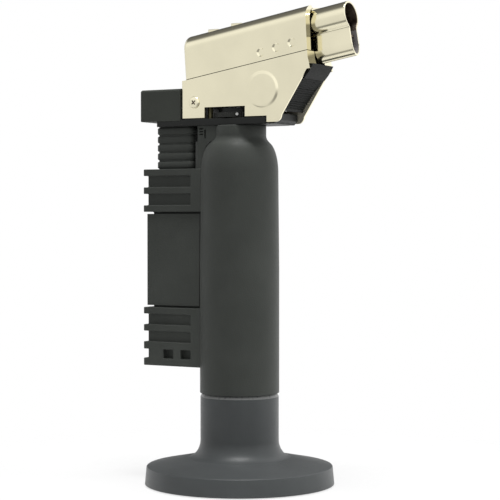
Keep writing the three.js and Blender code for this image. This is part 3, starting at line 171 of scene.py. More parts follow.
# Steps of the disc's edge: how far past its radius, and how far out of the flank
DISC_EDGE = ((0.75, 0), (0.5, 0.04), (0.25, 0.13), (0, 0.23), (-0.25, 0.32), (-0.5, 0.38), (-0.75, 0.4))
SCREW = (-14, 140.4)
SCREW_HOLE = 1.3
SCREW_HEAD = 2.2
SCREW_EDGE = 0.25
SCREW_RISE = 0.7
SCREW_SHANK = 1
SCREW_LENGTH = 4
SCREW_CROSS = (1, 0.24)
SCREW_CROSS_FLOOR = 0.1
SCREW_CROSS_TURN = math.radians(40)
LOUVRES = (-8.6, 1.2)
LOUVRE_LENGTH = 4.6
LOUVRE_HALF = 4.5
LOUVRE_HEIGHT = 1.1
LOUVRE_FRONT = 0.3
LOUVRE_ROUND = 0.25
VENTS = ((14.2, 157.4), (20.5, 158.8), (26.8, 160.3))
VENT_RADIUS = 1.5
VENT_DEPTH = 0.22
VENT_SLOPE = 1.2
VENT_LEAN = math.radians(-9)

# Nozzle, along the tilted head
NOZZLE_RISE = 9.64
GUARD_REAR = 14
GUARD_MOUTH = 48
GUARD_RADIUS = 5.3
GUARD_WALL = 0.7
GUARD_ROUND = 0.2
WEB_HALF = 3.1
WEB_BOTTOM = -14.4
WEB_ROUND = 4.5
WAIST_FILLET = 1.5

# Trigger and wheel
FRONT_POINTS = ((22, 136.4), (26.7, 142.9), (32.6, 149.4), (35.2, 153.7))
BACK_POINTS = ((22, 136.4), (26.9, 143.9), (33.3, 151.3), (34.9, 153.9))
TRIGGER_GAP = 0.4
FACE_THICKNESS = 2.4
FACE_HALF = 7.8
RIBBED_SHARES = (0.06, 0.56)
RIB_PITCH = 0.9
RIB_SWAY = 0.2
FACE_STEPS = 220
BACK_EVERY = 10
ARM_SHARES = (0.45, 0.8)
ARM_HALF = (1.35, 1.6)
PIN = (24.4, 148)
PIN_HOLE = 1.3
KNUCKLE_RADIUS = 2.4
KNUCKLE_HALF = 6
NOSE = (22, 141.9)
NOSE_RADIUS = 1.6
NOSE_HALF = 2.8
EAR_ROOM = 2.6
WHEEL_RADIUS = 9.4
WHEEL_BORE = 4.5
WHEEL_TEETH = 72
WHEEL_TOOTH = 0.3
COLLAR_RADIUS = 7.6
COLLAR_WALL = 0.8
COLLAR_TOP = 138.2
COLLAR_SINK = 0.4
MARK_RADIUS = 0.5
MARK_DEPTH = 0.5
MARK_DROP = 0.3
MARK_TURN = math.radians(-65.5)

# Springs, each with its radius, the wire's radius and its turns
TRIGGER_COIL = (1.05, 0.35, 3)
VALVE_COIL = (2.4, 0.6, 5)
FILL_COIL = (1.9, 0.3, 4)
COIL_SIDES = 12
COIL_STEPS = 28


def seam(x):
    """The height of the joint between the two plated shells"""
    return SEAM_AT_AXIS + x * math.tan(HEAD_TILT)


def onto_head():
    """The place of shapes that are drawn along the tilted head"""
    return Matrix.Translation((0, 0, seam(0))) @ Matrix.Rotation(-HEAD_TILT, 4, "Y")


# Helpers that shape a mesh
def spun(profile, steps):
    """Radius and height points turned about Z; a profile that leaves the axis free is closed"""
    shape = bmesh.new()
    points = [shape.verts.new((radius, 0, z)) for radius, z in profile]
    ends = points[1:] + points[:1] if profile[0][0] > 0 else points[1:]
    for one, other in zip(points, ends):
        shape.edges.new((one, other))
    whole = shape.verts[:] + shape.edges[:]
    bmesh.ops.spin(shape, geom=whole, axis=(0, 0, 1), angle=math.tau, steps=steps, use_merge=True)
    return closed(shape)


def closed(shape):
    """Merges doubles and turns the faces outwards"""
    bmesh.ops.remove_doubles(shape, verts=shape.verts[:], dist=MERGE)
    bmesh.ops.recalc_face_normals(shape, faces=shape.faces[:])
    return shape


def arc(centre, reach, rise, start, end, steps):
    """Points of a part of an ellipse, with its turns in quarters"""
    turns = [math.pi / 2 * (start + (end - start) * i / steps) for i in range(steps + 1)]
    return [(centre[0] + reach * math.cos(turn), centre[1] + rise * math.sin(turn)) for turn in turns]


def from_solid(node):
    """A copy of a solid's mesh with its flat faces whole again"""
    shape = bmesh.new()
    shape.from_mesh(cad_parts[node].data)
    bmesh.ops.scale(shape, vec=Vector((1, 1, 1)) / MM, verts=shape.verts[:])
    bmesh.ops.remove_doubles(shape, verts=shape.verts[:], dist=MERGE)
    flat = math.radians(1)
    bmesh.ops.dissolve_limit(shape, angle_limit=flat, verts=shape.verts[:], edges=shape.edges[:])
    return shape


def bevelled(shape, geom, width, segments, affect="EDGES", clamp=False):
    """Rounds the given edges or corners"""
    bmesh.ops.bevel(shape, geom=geom, offset=width, offset_type="OFFSET", segments=segments, profile=0.5,
                    affect=affect, clamp_overlap=clamp, material=-1)


def soften(shape, width, segments=3, angle=30, where=None):
    """Rounds every edge sharper than an angle, or those of them that a test picks"""
    sharp = [edge for edge in shape.edges if edge.calc_face_angle(0) > math.radians(angle)]
    picked = [edge for edge in sharp if where is None or where((edge.verts[0].co + edge.verts[1].co) / 2)]
    bevelled(shape, picked, width, segments, clamp=True)
    return shape


def new_verts(grown):
    """The points that an operator added"""
    return [item for item in grown if isinstance(item, bmesh.types.BMVert)]


def new_rim(grown):
    """The edges that lie between new points alone"""
    verts = set(new_verts(grown))
    edges = [item for item in grown if isinstance(item, bmesh.types.BMEdge)]
    return [edge for edge in edges if verts.issuperset(edge.verts)]


def slab(outline, low, high):
    """A side outline in X and Z, carried across from one Y to another"""
    shape = bmesh.new()
    face = shape.faces.new([shape.verts.new((x, low, z)) for x, z in outline])
    grown = bmesh.ops.extrude_face_region(shape, geom=[face])["geom"]
    bmesh.ops.translate(shape, vec=(0, high - low, 0), verts=new_verts(grown))
    return closed(shape)


def block(low, high):
    """A box between two corners"""
    shape = bmesh.new()
    size = Vector(high) - Vector(low)
    place = Matrix.Translation((Vector(low) + Vector(high)) / 2) @ Matrix.Diagonal((*size, 1))
    bmesh.ops.create_cube(shape, size=1, matrix=place)
    return shape


def drum(radius, low, high, centre):
    """A cylinder across the head, at an X and Z"""
    shape = bmesh.new()
    middle = Vector((centre[0], (low + high) / 2, centre[1]))
    place = Matrix.Translation(middle) @ Matrix.Rotation(math.pi / 2, 4, "X")
    bmesh.ops.create_cone(shape, cap_ends=True, segments=64, radius1=radius, radius2=radius,
                          depth=high - low, matrix=place)
    return shape


def object_of(shape, name="work"):
    """An object in the scene with a shape's mesh; the shape is used up"""
    mesh = bpy.data.meshes.new(name)
    shape.to_mesh(mesh)
    shape.free()
    made = bpy.data.objects.new(name, mesh)
    bpy.context.scene.collection.objects.link(made)
    return made


def worked_out(work, *others):
    """The shape that an object's modifiers leave; the object and those it used are removed"""
    bpy.context.view_layer.update()
    result = bmesh.new()
    result.from_object(work, bpy.context.evaluated_depsgraph_get())
    for used in [work, *others]:
        mesh = used.data
        bpy.data.objects.remove(used)
        bpy.data.meshes.remove(mesh)
    bmesh.ops.remove_doubles(result, verts=result.verts[:], dist=MERGE)
    return result


def combined(shape, operation, *tools):
    """A shape joined with others or cut by them, one after the other"""
    work = object_of(shape)
    others = [object_of(tool) for tool in tools]
    for other in others:
        step = work.modifiers.new("step", "BOOLEAN")
        step.operation = operation
        step.solver = "EXACT"
        step.object = other
    return worked_out(work, *others)


def piece(name, shape, finish, body, crease=35, nodes=None, weighted=False):
    """A finished piece: brought to metres, shaded, dressed and hung on its body in place of its solid"""
    bmesh.ops.scale(shape, vec=Vector((1, 1, 1)) * MM, verts=shape.verts[:])
    made = object_of(shape, name)
    made.data.shade_smooth()
    made.data.set_sharp_from_angle(angle=math.radians(crease))
    made.data.materials.append(finish)
    if weighted:
        made.modifiers.new("even", "WEIGHTED_NORMAL").keep_sharp = True
    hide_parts(*(nodes or [name.removesuffix("_look")]))
    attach(made, body)
    return made


# Materials
NOISE_SPAN = (0.3, 0.7)
COAT_CLOUD = 70
COAT_SHADE = 0.1
COAT_SHEEN = 0.07
COAT_BUMP = 0.35
PLATE_CLOUD = 55
PLATE_SHADE = 0.05
PLATE_MOTTLE = 420
PLATE_SHEEN = (0.85, 1.2)
PLATE_GRAIN = 1600
PLATE_RELIEF = 0.00002
PLATE_BUMP = 0.12
HEAT_CLOUD = 240
HEAT_SPAN = (0.35, 0.65)
HEAT_SHEEN = (0.32, 0.5)
FIBRE = 1800
FIBRE_SHADES = (0.7, 1.1)
FIBRE_RELIEF = 0.0003
FIBRE_BUMP = 0.8
WHITE = (1, 1, 1, 1)


def fill(tree, socket, value):
    """Links a socket to another one, or sets its value"""
    if isinstance(value, bpy.types.NodeSocket):
        tree.links.new(value, socket)
    else:
        socket.default_value = value


def feed(tree, node, **values):
    """Fills a node's inputs by their names, in which an underscore stands for a space"""
    for name, value in values.items():
        fill(tree, node.inputs[name.replace("_", " ")], value)
    return node


def add(tree, kind, **values):
    return feed(tree, tree.nodes.new(kind), **values)


def calculated(tree, operation, one, other):
    """What an operation makes of two values"""
    made = tree.nodes.new("ShaderNodeMath")
    made.operation = operation
    fill(tree, made.inputs[0], one)
    fill(tree, made.inputs[1], other)
    return made.outputs[0]


def onto_range(tree, value, source, target=(0, 1)):
    """A value carried from one range onto another"""
    made = add(tree, "ShaderNodeMapRange", Value=value, From_Min=source[0], From_Max=source[1],
               To_Min=target[0], To_Max=target[1])
    return made.outputs["Result"]


def mixed(tree, share, one, other):
    """Two shaders, with the share of the second"""
    made = add(tree, "ShaderNodeMixShader", Fac=share)
    tree.links.new(one.outputs[0], made.inputs[1])
    tree.links.new(other.outputs[0], made.inputs[2])
    return made


def ramp(tree, factor, span, dark, light):
    """Two colours, with the places on the ramp where each begins"""
    made = add(tree, "ShaderNodeValToRGB", Fac=factor)
    for stop, position, colour in zip(made.color_ramp.elements, span, (dark, light)):
        stop.position = position
        stop.color = (*colour, 1)
    return made.outputs["Color"]


def noise(tree, coords, scale, detail):
    return add(tree, "ShaderNodeTexNoise", Vector=coords, Scale=scale, Detail=detail).outputs["Fac"]


def grain_bump(tree, height, strength, distance):
    made = add(tree, "ShaderNodeBump", Strength=strength, Distance=distance, Height=height)
    return made.outputs["Normal"]


def finish_of(name):
    """A new material with its tree, its shader and the piece's own coordinates"""
    made = bpy.data.materials.new(name)
    made.use_nodes = True
    tree = made.node_tree
    shader = tree.nodes["Principled BSDF"]
    coords = tree.nodes.new("ShaderNodeTexCoord").outputs["Object"]
    return made, tree, shader, coords


def tint(colour, share):
    return tuple(channel * share for channel in colour)


def moulded(name, colour, rough, grain, relief, specular=0.32, sheen=0.0):
    """Moulded or textured coat: broad shade, mottled sheen and a fine grain"""
    made, tree, shader, coords = finish_of(name)
    broad = noise(tree, coords, COAT_CLOUD, detail=4)
    fine = noise(tree, coords, grain, detail=4)
    shades = tint(colour, 1 - COAT_SHADE), tint(colour, 1 + COAT_SHADE)
    feed(tree, shader, Base_Color=ramp(tree, broad, NOISE_SPAN, *shades),
         Roughness=onto_range(tree, fine, NOISE_SPAN, (rough - COAT_SHEEN, rough + COAT_SHEEN)),
         Normal=grain_bump(tree, fine, COAT_BUMP, relief), Specular_IOR_Level=specular, Sheen_Weight=sheen)
    return made


def metal(name, colour, rough):
    """Plated or turned metal: a faint cloud in colour and sheen over a very fine grain"""
    made, tree, shader, coords = finish_of(name)
    broad = noise(tree, coords, PLATE_CLOUD, detail=3)
    mottle = noise(tree, coords, PLATE_MOTTLE, detail=4)
    fine = noise(tree, coords, PLATE_GRAIN, detail=3)
    shades = tint(colour, 1 - PLATE_SHADE), tint(colour, 1 + PLATE_SHADE)
    feed(tree, shader, Base_Color=ramp(tree, broad, NOISE_SPAN, *shades),
         Roughness=onto_range(tree, mottle, NOISE_SPAN, [rough * share for share in PLATE_SHEEN]),
         Normal=grain_bump(tree, fine, PLATE_BUMP, PLATE_RELIEF), Metallic=1)
    return made


def heated(name, dark, light):
    """Steel tinted brown by the flame, in uneven bands; the same dark finish also stands as painted shade
    in hollows
    """
    made, tree, shader, coords = finish_of(name)
    cloud = noise(tree, coords, HEAT_CLOUD, detail=5)
    feed(tree, shader, Base_Color=ramp(tree, cloud, HEAT_SPAN, dark, light),
         Roughness=onto_range(tree, cloud, NOISE_SPAN, HEAT_SHEEN), Metallic=1)
    return made


def felted(name, colour):
    """Loose fibre: strong broken bump and no gloss"""
    made, tree, shader, coords = finish_of(name)
    fibre = noise(tree, coords, FIBRE, detail=6)
    shades = [tint(colour, share) for share in FIBRE_SHADES]
    feed(tree, shader, Base_Color=ramp(tree, fibre, NOISE_SPAN, *shades), Roughness=0.95,
         Normal=grain_bump(tree, fibre, FIBRE_BUMP, FIBRE_RELIEF))
    return made


tank_coat = moulded("tank_coat", (0.059, 0.064, 0.058), rough=0.5, grain=2300, relief=0.00014,
                    specular=0.15, sheen=0.03)
stand_coat = moulded("stand_coat", (0.052, 0.057, 0.058), rough=0.42, grain=2300, relief=0.0001,
                     specular=0.28, sheen=0.05)
# Lighter coat for the chamfer at the tank joint: a painted highlight, with a real glossier sheen
painted_highlight_coat = moulded("painted_highlight_coat", (0.11, 0.115, 0.112), rough=0.3, grain=900, relief=0.00004,
                    specular=0.6, sheen=0.3)
cap_coat = moulded("cap_coat", (0.060, 0.065, 0.057), rough=0.5, grain=1700, relief=0.0001, specular=0.12)
# Black plastic; on the wheel's collar it stands as painted shade
black_plastic = moulded("black_plastic", (0.013, 0.014, 0.013), rough=0.42, grain=1500, relief=0.00006,
                        specular=0.2)
trigger_plastic = moulded("trigger_plastic", (0.012, 0.013, 0.012), rough=0.5, grain=1500, relief=0.00006,
                          specular=0.09)
rubber = moulded("rubber", (0.012, 0.012, 0.012), rough=0.75, grain=1200, relief=0.0001, specular=0.2)
ceramic = moulded("ceramic", (0.78, 0.75, 0.69), rough=0.3, grain=900, relief=0.00003, specular=0.5)
wheel_plastic = moulded("wheel_plastic", (0.032, 0.033, 0.03), rough=0.45, grain=1500, relief=0.00006,
                        specular=0.2)
# White for the dot on the wheel's rim, a painted glint
painted_glint = moulded("painted_glint", (0.8, 0.8, 0.78), rough=0.4, grain=900, relief=0.00003, specular=0.5)
champagne = metal("champagne_plate", (0.735, 0.69, 0.515), rough=0.13)
brass = metal("brass", (0.3, 0.235, 0.1), rough=0.45)
# Brass darkened as painted shade, for the gas tube in the shaded window
brass_in_painted_shade = metal("brass_in_painted_shade", (0.085, 0.078, 0.045), rough=0.6)
steel = metal("steel", (0.56, 0.56, 0.55), rough=0.3)
satin_plate = moulded("satin_plate", (0.6, 0.57, 0.46), rough=0.5, grain=900, relief=0.00003, specular=0.5)
dull_steel = moulded("dull_steel", (0.26, 0.245, 0.24), rough=0.6, grain=900, relief=0.00004, specular=0.3)
# Flame tint on the flame holder and divider; painted shade in the screws' crosses and the guard's bulb
heated_steel = heated("heated_steel", dark=(0.09, 0.06, 0.045), light=(0.3, 0.25, 0.2))
felt = felted("felt", (0.5, 0.46, 0.37))


# Stand and tank
def stand_foot():
    reach = CONE_RADIUS - SLEEVE_RADIUS
    flare = arc((CONE_RADIUS, CONE_TOP + FLARE_RISE), reach, FLARE_RISE, 3, 2, steps=22)
    rim = FOOT_RADIUS - FOOT_DRAFT
    shape = spun([
        (SOLE_RADIUS + FIT, FOOT_LIFT), (FOOT_RADIUS, FOOT_LIFT), (rim, RIM_TOP), *flare,
        (SLEEVE_RADIUS, JOINT_Z - SLEEVE_CHAMFER), (JOINT_RADIUS, JOINT_Z),
        (SOCKET_RADIUS, JOINT_Z), (SOCKET_RADIUS, SOCKET_FLOOR), (MERGE / 4, SOCKET_FLOOR),
        (MERGE / 4, SOLE_THICKNESS), (SOLE_RADIUS + FIT, SOLE_THICKNESS),
    ], TANK_STEPS)
    soften(shape, FOOT_ROUND, segments=4, angle=60,
           where=lambda at: abs(at.z - RIM_TOP) < MERGE and at.xy.length > rim - FIT)
    soften(shape, SLEEVE_ROUND, angle=20,
           where=lambda at: at.z > JOINT_Z - SLEEVE_CHAMFER - FIT or at.z < SOLE_THICKNESS - FIT)
    # The chamfer ring at the joint takes the lighter coat, as a painted highlight
    for face in shape.faces:
        middle = face.calc_center_median()
        highlight_band = JOINT_Z - SLEEVE_CHAMFER < middle.z < JOINT_Z and middle.xy.length > JOINT_RADIUS - FIT
        face.material_index = 1 if highlight_band else 0
    made = piece("stand_foot_look", shape, stand_coat, "stand", crease=15)
    made.data.materials.append(painted_highlight_coat)
    return made


def stand_sole():
    profile = [(0, SOLE_THICKNESS), (SOLE_RADIUS, SOLE_THICKNESS), (SOLE_RADIUS, 0)]
    for groove in reversed(SOLE_GROOVES):
        outer = groove + GROOVE_WIDTH
        profile += [(outer, 0), (outer - GROOVE_SLOPE, GROOVE_DEPTH),
                    (groove + GROOVE_SLOPE, GROOVE_DEPTH), (groove, 0)]
    shape = spun([*profile, (0, 0)], steps=128)
    soften(shape, SOLE_ROUND, segments=2, angle=40, where=lambda at: at.xy.length > SOLE_RADIUS - FIT)
    return piece("stand_sole_look", shape, rubber, "stand")


def neck_fillet(before, start):
    """A hollow curve that leads the shoulder into the neck"""
    slope = (start.y - before.y) / (start.x - before.x)
    corner = Vector((NECK_RADIUS, start.y + slope * (NECK_RADIUS - start.x)))
    end = Vector((NECK_RADIUS, NECK_FILLET_TOP))
    shares = [step / NECK_FILLET_STEPS for step in range(1, NECK_FILLET_STEPS + 1)]
    return [tuple(start.lerp(corner, share).lerp(corner.lerp(end, share), share)) for share in shares]


def tank_shell():
    rise = SHOULDER_TOP - SHOULDER_BASE
    reach = TANK_TOP_RADIUS - NECK_RADIUS
    shoulder = arc((NECK_RADIUS, SHOULDER_BASE), reach, rise, 0, NECK_FILLET_START, steps=18)
    shoulder += neck_fillet(Vector(shoulder[-2]), Vector(shoulder[-1]))
    inner_reach = TANK_TOP_RADIUS - TANK_WALL - NECK_BORE
    inside = arc((NECK_BORE, SHOULDER_BASE), inner_reach, rise - TANK_WALL, 1, 0, steps=12)
    low, high, bed = GRIP_GROOVE
    shape = spun([
        (SPIGOT_BORE, TANK_BOTTOM), (SPIGOT_RADIUS, TANK_BOTTOM),
        (SPIGOT_RADIUS, low), (bed, low), (bed, high), (SPIGOT_RADIUS, high),
        (SPIGOT_RADIUS, JOINT_Z), (JOINT_RADIUS, JOINT_Z), (TANK_RADIUS, JOINT_Z + TANK_CHAMFER),
        (TANK_RADIUS, TAPER_START), *shoulder, (NECK_RADIUS, NECK_TOP), (NECK_BORE, NECK_TOP), *inside,
        (TANK_RADIUS - TANK_WALL, TAPER_START), (TANK_RADIUS - TANK_WALL, JOINT_Z + 2 * TANK_WALL),
        (SPIGOT_BORE, JOINT_Z + TANK_WALL),
    ], TANK_STEPS)
    soften(shape, TANK_ROUND, angle=25, where=lambda at: abs(at.z - JOINT_Z - TANK_CHAMFER) < MERGE)
    soften(shape, NECK_ROUND, angle=60, where=lambda at: at.z > NECK_TOP - MERGE)
    return piece("tank_shell_look", shape, tank_coat, "torch")


# Housing, panel, sleeve and cap
def tank_reach(z):
    """The tank's radius at a height"""
    if z < TAPER_START:
        return TANK_RADIUS
    if z < SHOULDER_BASE:
        share = (z - TAPER_START) / (SHOULDER_BASE - TAPER_START)
        return TANK_RADIUS + (TANK_TOP_RADIUS - TANK_RADIUS) * share
    rise = min(1, (z - SHOULDER_BASE) / (SHOULDER_TOP - SHOULDER_BASE))
    return NECK_RADIUS + (TANK_TOP_RADIUS - NECK_RADIUS) * math.sqrt(1 - rise ** 2)


def strip_slots(side):
    """The rooms of three short slots and an upright one in the strip's flank beside the neck"""
    walls = sorted((side * (STRIP_SIDE - STRIP_RECESS), side * (STRIP_SIDE + CUT_PAST)))
    spans = [(STRIP_SLOT_ENDS, (z - STRIP_SLOT_HALF, z + STRIP_SLOT_HALF)) for z in STRIP_SLOTS]
    spans.append((STRIP_UPRIGHT_ENDS, STRIP_UPRIGHT_HEIGHTS))
    return [block(*zip(ends, walls, heights)) for ends, heights in spans]


def rear_housing():
    shape = soften(from_solid("rear_housing"), FIN_ROUND, angle=40, where=lambda at: at.x < FINS_BEHIND)
    shape = combined(shape, "DIFFERENCE", *strip_slots(-1), *strip_slots(1))
    for vert in shape.verts:
        reach = vert.co.xy.length
        if abs(reach - tank_reach(vert.co.z) - FIT) < FIT / 2:
            vert.co.xy *= (reach - GAP_CLOSED * FIT) / reach
    return piece("rear_housing_look", shape, tank_coat, "torch", weighted=True)


def label_panel():
    shape = soften(from_solid("label_panel"), PANEL_ROUND, angle=40,
                   where=lambda at: at.x < PANEL_BEHIND and abs(at.y) > PANEL_BESIDE)
    low, high = [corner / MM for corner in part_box("label_panel")]
    middle = (low.z + high.z) / 2
    taller = 1 + 2 * PANEL_REACH / (high.z - low.z)
    space = Matrix.Translation((0, 0, -middle))
    bmesh.ops.scale(shape, vec=(1, 1, taller), space=space, verts=shape.verts[:])
    return piece("label_panel_look", shape, tank_coat, "torch", weighted=True)


def grow_level(shape, face, rise, scale):
    """One more level on top of a stack: the top face carried up and drawn in or out"""
    grown = bmesh.ops.extrude_discrete_faces(shape, faces=[face])["faces"][0]
    middle = Vector(((SLEEVE_REAR + SLEEVE_FRONT) / 2, 0, 0))
    bmesh.ops.translate(shape, vec=(0, 0, rise), verts=grown.verts[:])
    bmesh.ops.scale(shape, vec=(scale, scale, 1), space=Matrix.Translation(-middle), verts=grown.verts[:])
    return grown


def upright_bore(radius, x, y):
    """The room of a bore right through the sleeve"""
    low, high = HOUSING_TOP - CUT_PAST, NECK_TOP + CUT_PAST
    bore = spun([(0, low), (radius, low), (radius, high), (0, high)], steps=48)
    bmesh.ops.translate(bore, vec=(x, y, 0), verts=bore.verts[:])
    return bore


def ribbed_sleeve():
    shape = bmesh.new()
    inner = SLEEVE_HALF - RIB_DEPTH
    rear, front = SLEEVE_REAR + RIB_DEPTH, SLEEVE_FRONT - RIB_DEPTH
    corners = [(rear, -inner), (front, -inner), (front, inner), (rear, inner)]
    shape.faces.new([shape.verts.new((x, y, HOUSING_TOP)) for x, y in corners])
    bevelled(shape, shape.verts[:], SLEEVE_CORNER - RIB_DEPTH, segments=8, affect="VERTICES")
    shape.faces.ensure_lookup_table()
    top = shape.faces[0]
    pitch = (NECK_TOP - HOUSING_TOP) / RIBS
    out = SLEEVE_HALF / inner
    part = 1 + (out - 1) * RIB_EDGE_SHARE
    swell, shrink = (1, part, out / part), (part / out, 1 / part, 1)
    levels = [*((RIB_EDGE, scale) for scale in swell), (1 - 6 * RIB_EDGE, 1),
              *((RIB_EDGE, scale) for scale in shrink)]
    for _ in range(RIBS):
        for share, scale in levels:
            top = grow_level(shape, top, pitch * share, scale)
    bottom = [edge for edge in shape.edges if edge.is_boundary]
    bmesh.ops.contextual_create(shape, geom=bottom)
    closed(shape)
    shape = combined(shape, "DIFFERENCE", upright_bore(PLUNGER_BORE, PLUNGER_X, 0),
                     upright_bore(WIRE_BORE, *WIRE_LANE))
    return piece("ribbed_sleeve_look", shape, tank_coat, "torch", crease=50)


def rear_cap():
    low, high = [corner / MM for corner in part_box("rear_cap")]
    faces = ((0, low.x), (1, low.y), (1, high.y), (2, high.z))

    def outside(at):
        return sum(abs(at[axis] - wall) < MERGE for axis, wall in faces) > 1 or abs(at.x - low.x) < MERGE

    shape = soften(from_solid("rear_cap"), CAP_ROUND, segments=5, angle=40, where=outside)
    return piece("rear_cap_look", shape, cap_coat, "torch", weighted=True)


def head_frame():
    shape = soften(from_solid("head_frame"), PLATE_ROUND, segments=2, angle=60,
                   where=lambda at: at.z < PLATE_TOP + MERGE and abs(at.y) > PLATE_BESIDE)
    return piece("head_frame_look", shape, black_plastic, "torch", weighted=True)


# Plated shells
def ring_at(shape, radius, centre, segments):
    """A circle of edges on the near flank"""
    place = Matrix.Translation((centre[0], -HALF_HEAD, centre[1])) @ Matrix.Rotation(math.pi / 2, 4, "X")
    made = bmesh.ops.create_circle(shape, cap_ends=False, radius=radius, segments=segments, matrix=place)
    return list({edge for vert in made["verts"] for edge in vert.link_edges})


def embossed_disc(shape):
    """The disc's edge climbs out of the flank in an S, ring by ring, to a flat top"""
    edges = ring_at(shape, DISC_RADIUS + DISC_EDGE[0][0], DISC, segments=96)
    outer = edges
    centre = Vector((DISC[0], 0, DISC[1]))
    for (wide, low), (narrow, high) in zip(DISC_EDGE, DISC_EDGE[1:]):
        grown = bmesh.ops.extrude_edge_only(shape, edges=edges)["geom"]
        edges = new_rim(grown)
        share = (DISC_RADIUS + narrow) / (DISC_RADIUS + wide)
        space = Matrix.Translation(-centre)
        bmesh.ops.scale(shape, vec=(share, 1, share), space=space, verts=new_verts(grown))
        bmesh.ops.translate(shape, vec=(0, low - high, 0), verts=new_verts(grown))
    bmesh.ops.contextual_create(shape, geom=edges)
    return outer


def carried_across(shape, edges, y):
    """Carries edges of a sheet on to a Y, as a wall that is bent inwards; gives the wall's far edges"""
    grown = bmesh.ops.extrude_edge_only(shape, edges=edges)["geom"]
    for vert in new_verts(grown):
        vert.co.y = y
    return new_rim(grown)


def beside_nozzle(edge):
    """The flank's front edge over its nose, where a flange closes it towards the nozzle guard"""
    nose = BROW_NOSE[1][1]
    return all(vert.co.x > SHELL_FRONT - MERGE and vert.co.z > nose - MERGE for vert in edge.verts)


def over_or_under_slot(edge):
    """The rear wall's edges that leave the slide's slot free"""
    middle = sum(vert.co.z for vert in edge.verts) / 2
    return not SLIDE_SLOT[0] < middle < SLIDE_SLOT[1]


def sheet(shape):
    """Merges an open sheet and turns its faces outwards"""
    closed(shape)
    near = min(shape.faces, key=lambda face: face.calc_center_median().y)
    if near.normal.y > 0:
        bmesh.ops.reverse_faces(shape, faces=shape.faces[:])


def pressed(shape, wall=SHELL_WALL, edge=SHELL_ROUND, inside=0):
    """Gives a sheet its wall, inwards, and a rounded rim except along the seam

    The inside may have a finish of its own, by the number that is added to each face's finish.
    """
    work = object_of(shape)
    for _ in range(inside + 1):
        work.data.materials.append(None)
    thick = work.modifiers.new("wall", "SOLIDIFY")
    thick.thickness = wall
    thick.offset = -1
    thick.use_even_offset = True
    thick.material_offset = inside
    return soften(worked_out(work), edge, angle=50, where=lambda at: abs(at.z - seam(at.x)) > SEAM_NEAR)


def lower_shell():
    rear = SHELL_REAR + SHELL_BEND
    toe = arc((TOE_FRONT - TOE_ROUND, TOE_BOTTOM + TOE_ROUND), TOE_ROUND, TOE_ROUND, 3, 4, steps=8)
    window = [(WINDOW_REAR, SHELL_BOTTOM), (WINDOW_REAR, WINDOW_TOP), (WINDOW_FRONT, WINDOW_TOP),
              (WINDOW_FRONT, SHELL_BOTTOM)]
    outline = [
        (rear, SHELL_BOTTOM), *window, (TOE_BACK, SHELL_BOTTOM), (TOE_BACK, TOE_BOTTOM), *toe,
        BROW, *BROW_NOSE, (SHELL_FRONT, seam(SHELL_FRONT) + SEAM_LOW), (rear, seam(rear) + SEAM_LOW),
        (rear, SLIDE_SLOT[1]), (rear, SLIDE_SLOT[0]),
    ]
    shape = bmesh.new()
    corners = [shape.verts.new((x, -HALF_HEAD, z)) for x, z in outline]
    rim = [shape.edges.new(pair) for pair in zip(corners, corners[1:] + corners[:1])]
    back = rim[-3:]
    holes = embossed_disc(shape) + ring_at(shape, SCREW_HOLE, SCREW, segments=24)
    bmesh.ops.triangle_fill(shape, use_beauty=True, edges=rim + holes, normal=(0, -1, 0))
    carried_across(shape, [edge for edge in rim if beside_nozzle(edge)], FLANGE_END)
    bend = (rear, SHELL_BEND - HALF_HEAD, 0)
    turned = bmesh.ops.spin(shape, geom=back, cent=bend, axis=(0, 0, 1), angle=-math.pi / 2, steps=6)
    last = [item for item in turned["geom_last"] if isinstance(item, bmesh.types.BMEdge)]
    beside = carried_across(shape, last, -SLIDE_HALF)
    carried_across(shape, [edge for edge in beside if over_or_under_slot(edge)], 0)
    bmesh.ops.mirror(shape, geom=shape.verts[:] + shape.edges[:] + shape.faces[:], matrix=Matrix(),
                     merge_dist=MERGE, axis="Y")
    sheet(shape)
    made = piece("lower_shell_look", pressed(shape, inside=1), champagne, "torch",
                 crease=40, weighted=True)
    made.data.materials.append(satin_plate)
    return made


def hood_block():
    """The hood as a plain block on the seam, with ends that lean back"""
    shape = block((-1, -HALF_HEAD, -1), (1, HALF_HEAD, 1))
    for vert in shape.verts:
        front, upper = vert.co.x > 0, vert.co.z > 0
        lean = HOOD_FRONT_LEAN if front else HOOD_LEAN
        vert.co.x = (SHELL_FRONT if front else HOOD_REAR) - (lean if upper else 0)
        vert.co.z = seam(vert.co.x) + (HOOD_HEIGHT if upper else SEAM_HIGH)
    return shape


def scoop_front(shape):
    """Sets the top's front edge back in a curve over the nozzle"""
    front = max(shape.edges, key=lambda edge: sum(vert.co.z for vert in edge.verts)
                - abs(edge.verts[0].co.x - edge.verts[1].co.x))
    half = abs(front.verts[0].co.y)
    bmesh.ops.subdivide_edges(shape, edges=[front], cuts=SCOOP_CUTS)
    for vert in shape.verts:
        if vert.co.z > seam(vert.co.x) + HOOD_HEIGHT - MERGE and vert.co.x > 0:
            vert.co.x -= HOOD_SCOOP * (1 - min(1, abs(vert.co.y) / half) ** 2)
            vert.co.z = seam(vert.co.x) + HOOD_HEIGHT


def louvre(x):
    """A low flap on the hood's top, raised at its rear end"""
    half, foot = LOUVRE_LENGTH / 2, -SHELL_WALL / 2
    rises = ((-half, foot), (half, foot), (half, LOUVRE_FRONT), (-half, LOUVRE_HEIGHT))
    shape = slab([(x + reach, seam(x + reach) + HOOD_HEIGHT + rise) for reach, rise in rises],
                 -LOUVRE_HALF, LOUVRE_HALF)
    return soften(shape, LOUVRE_ROUND)


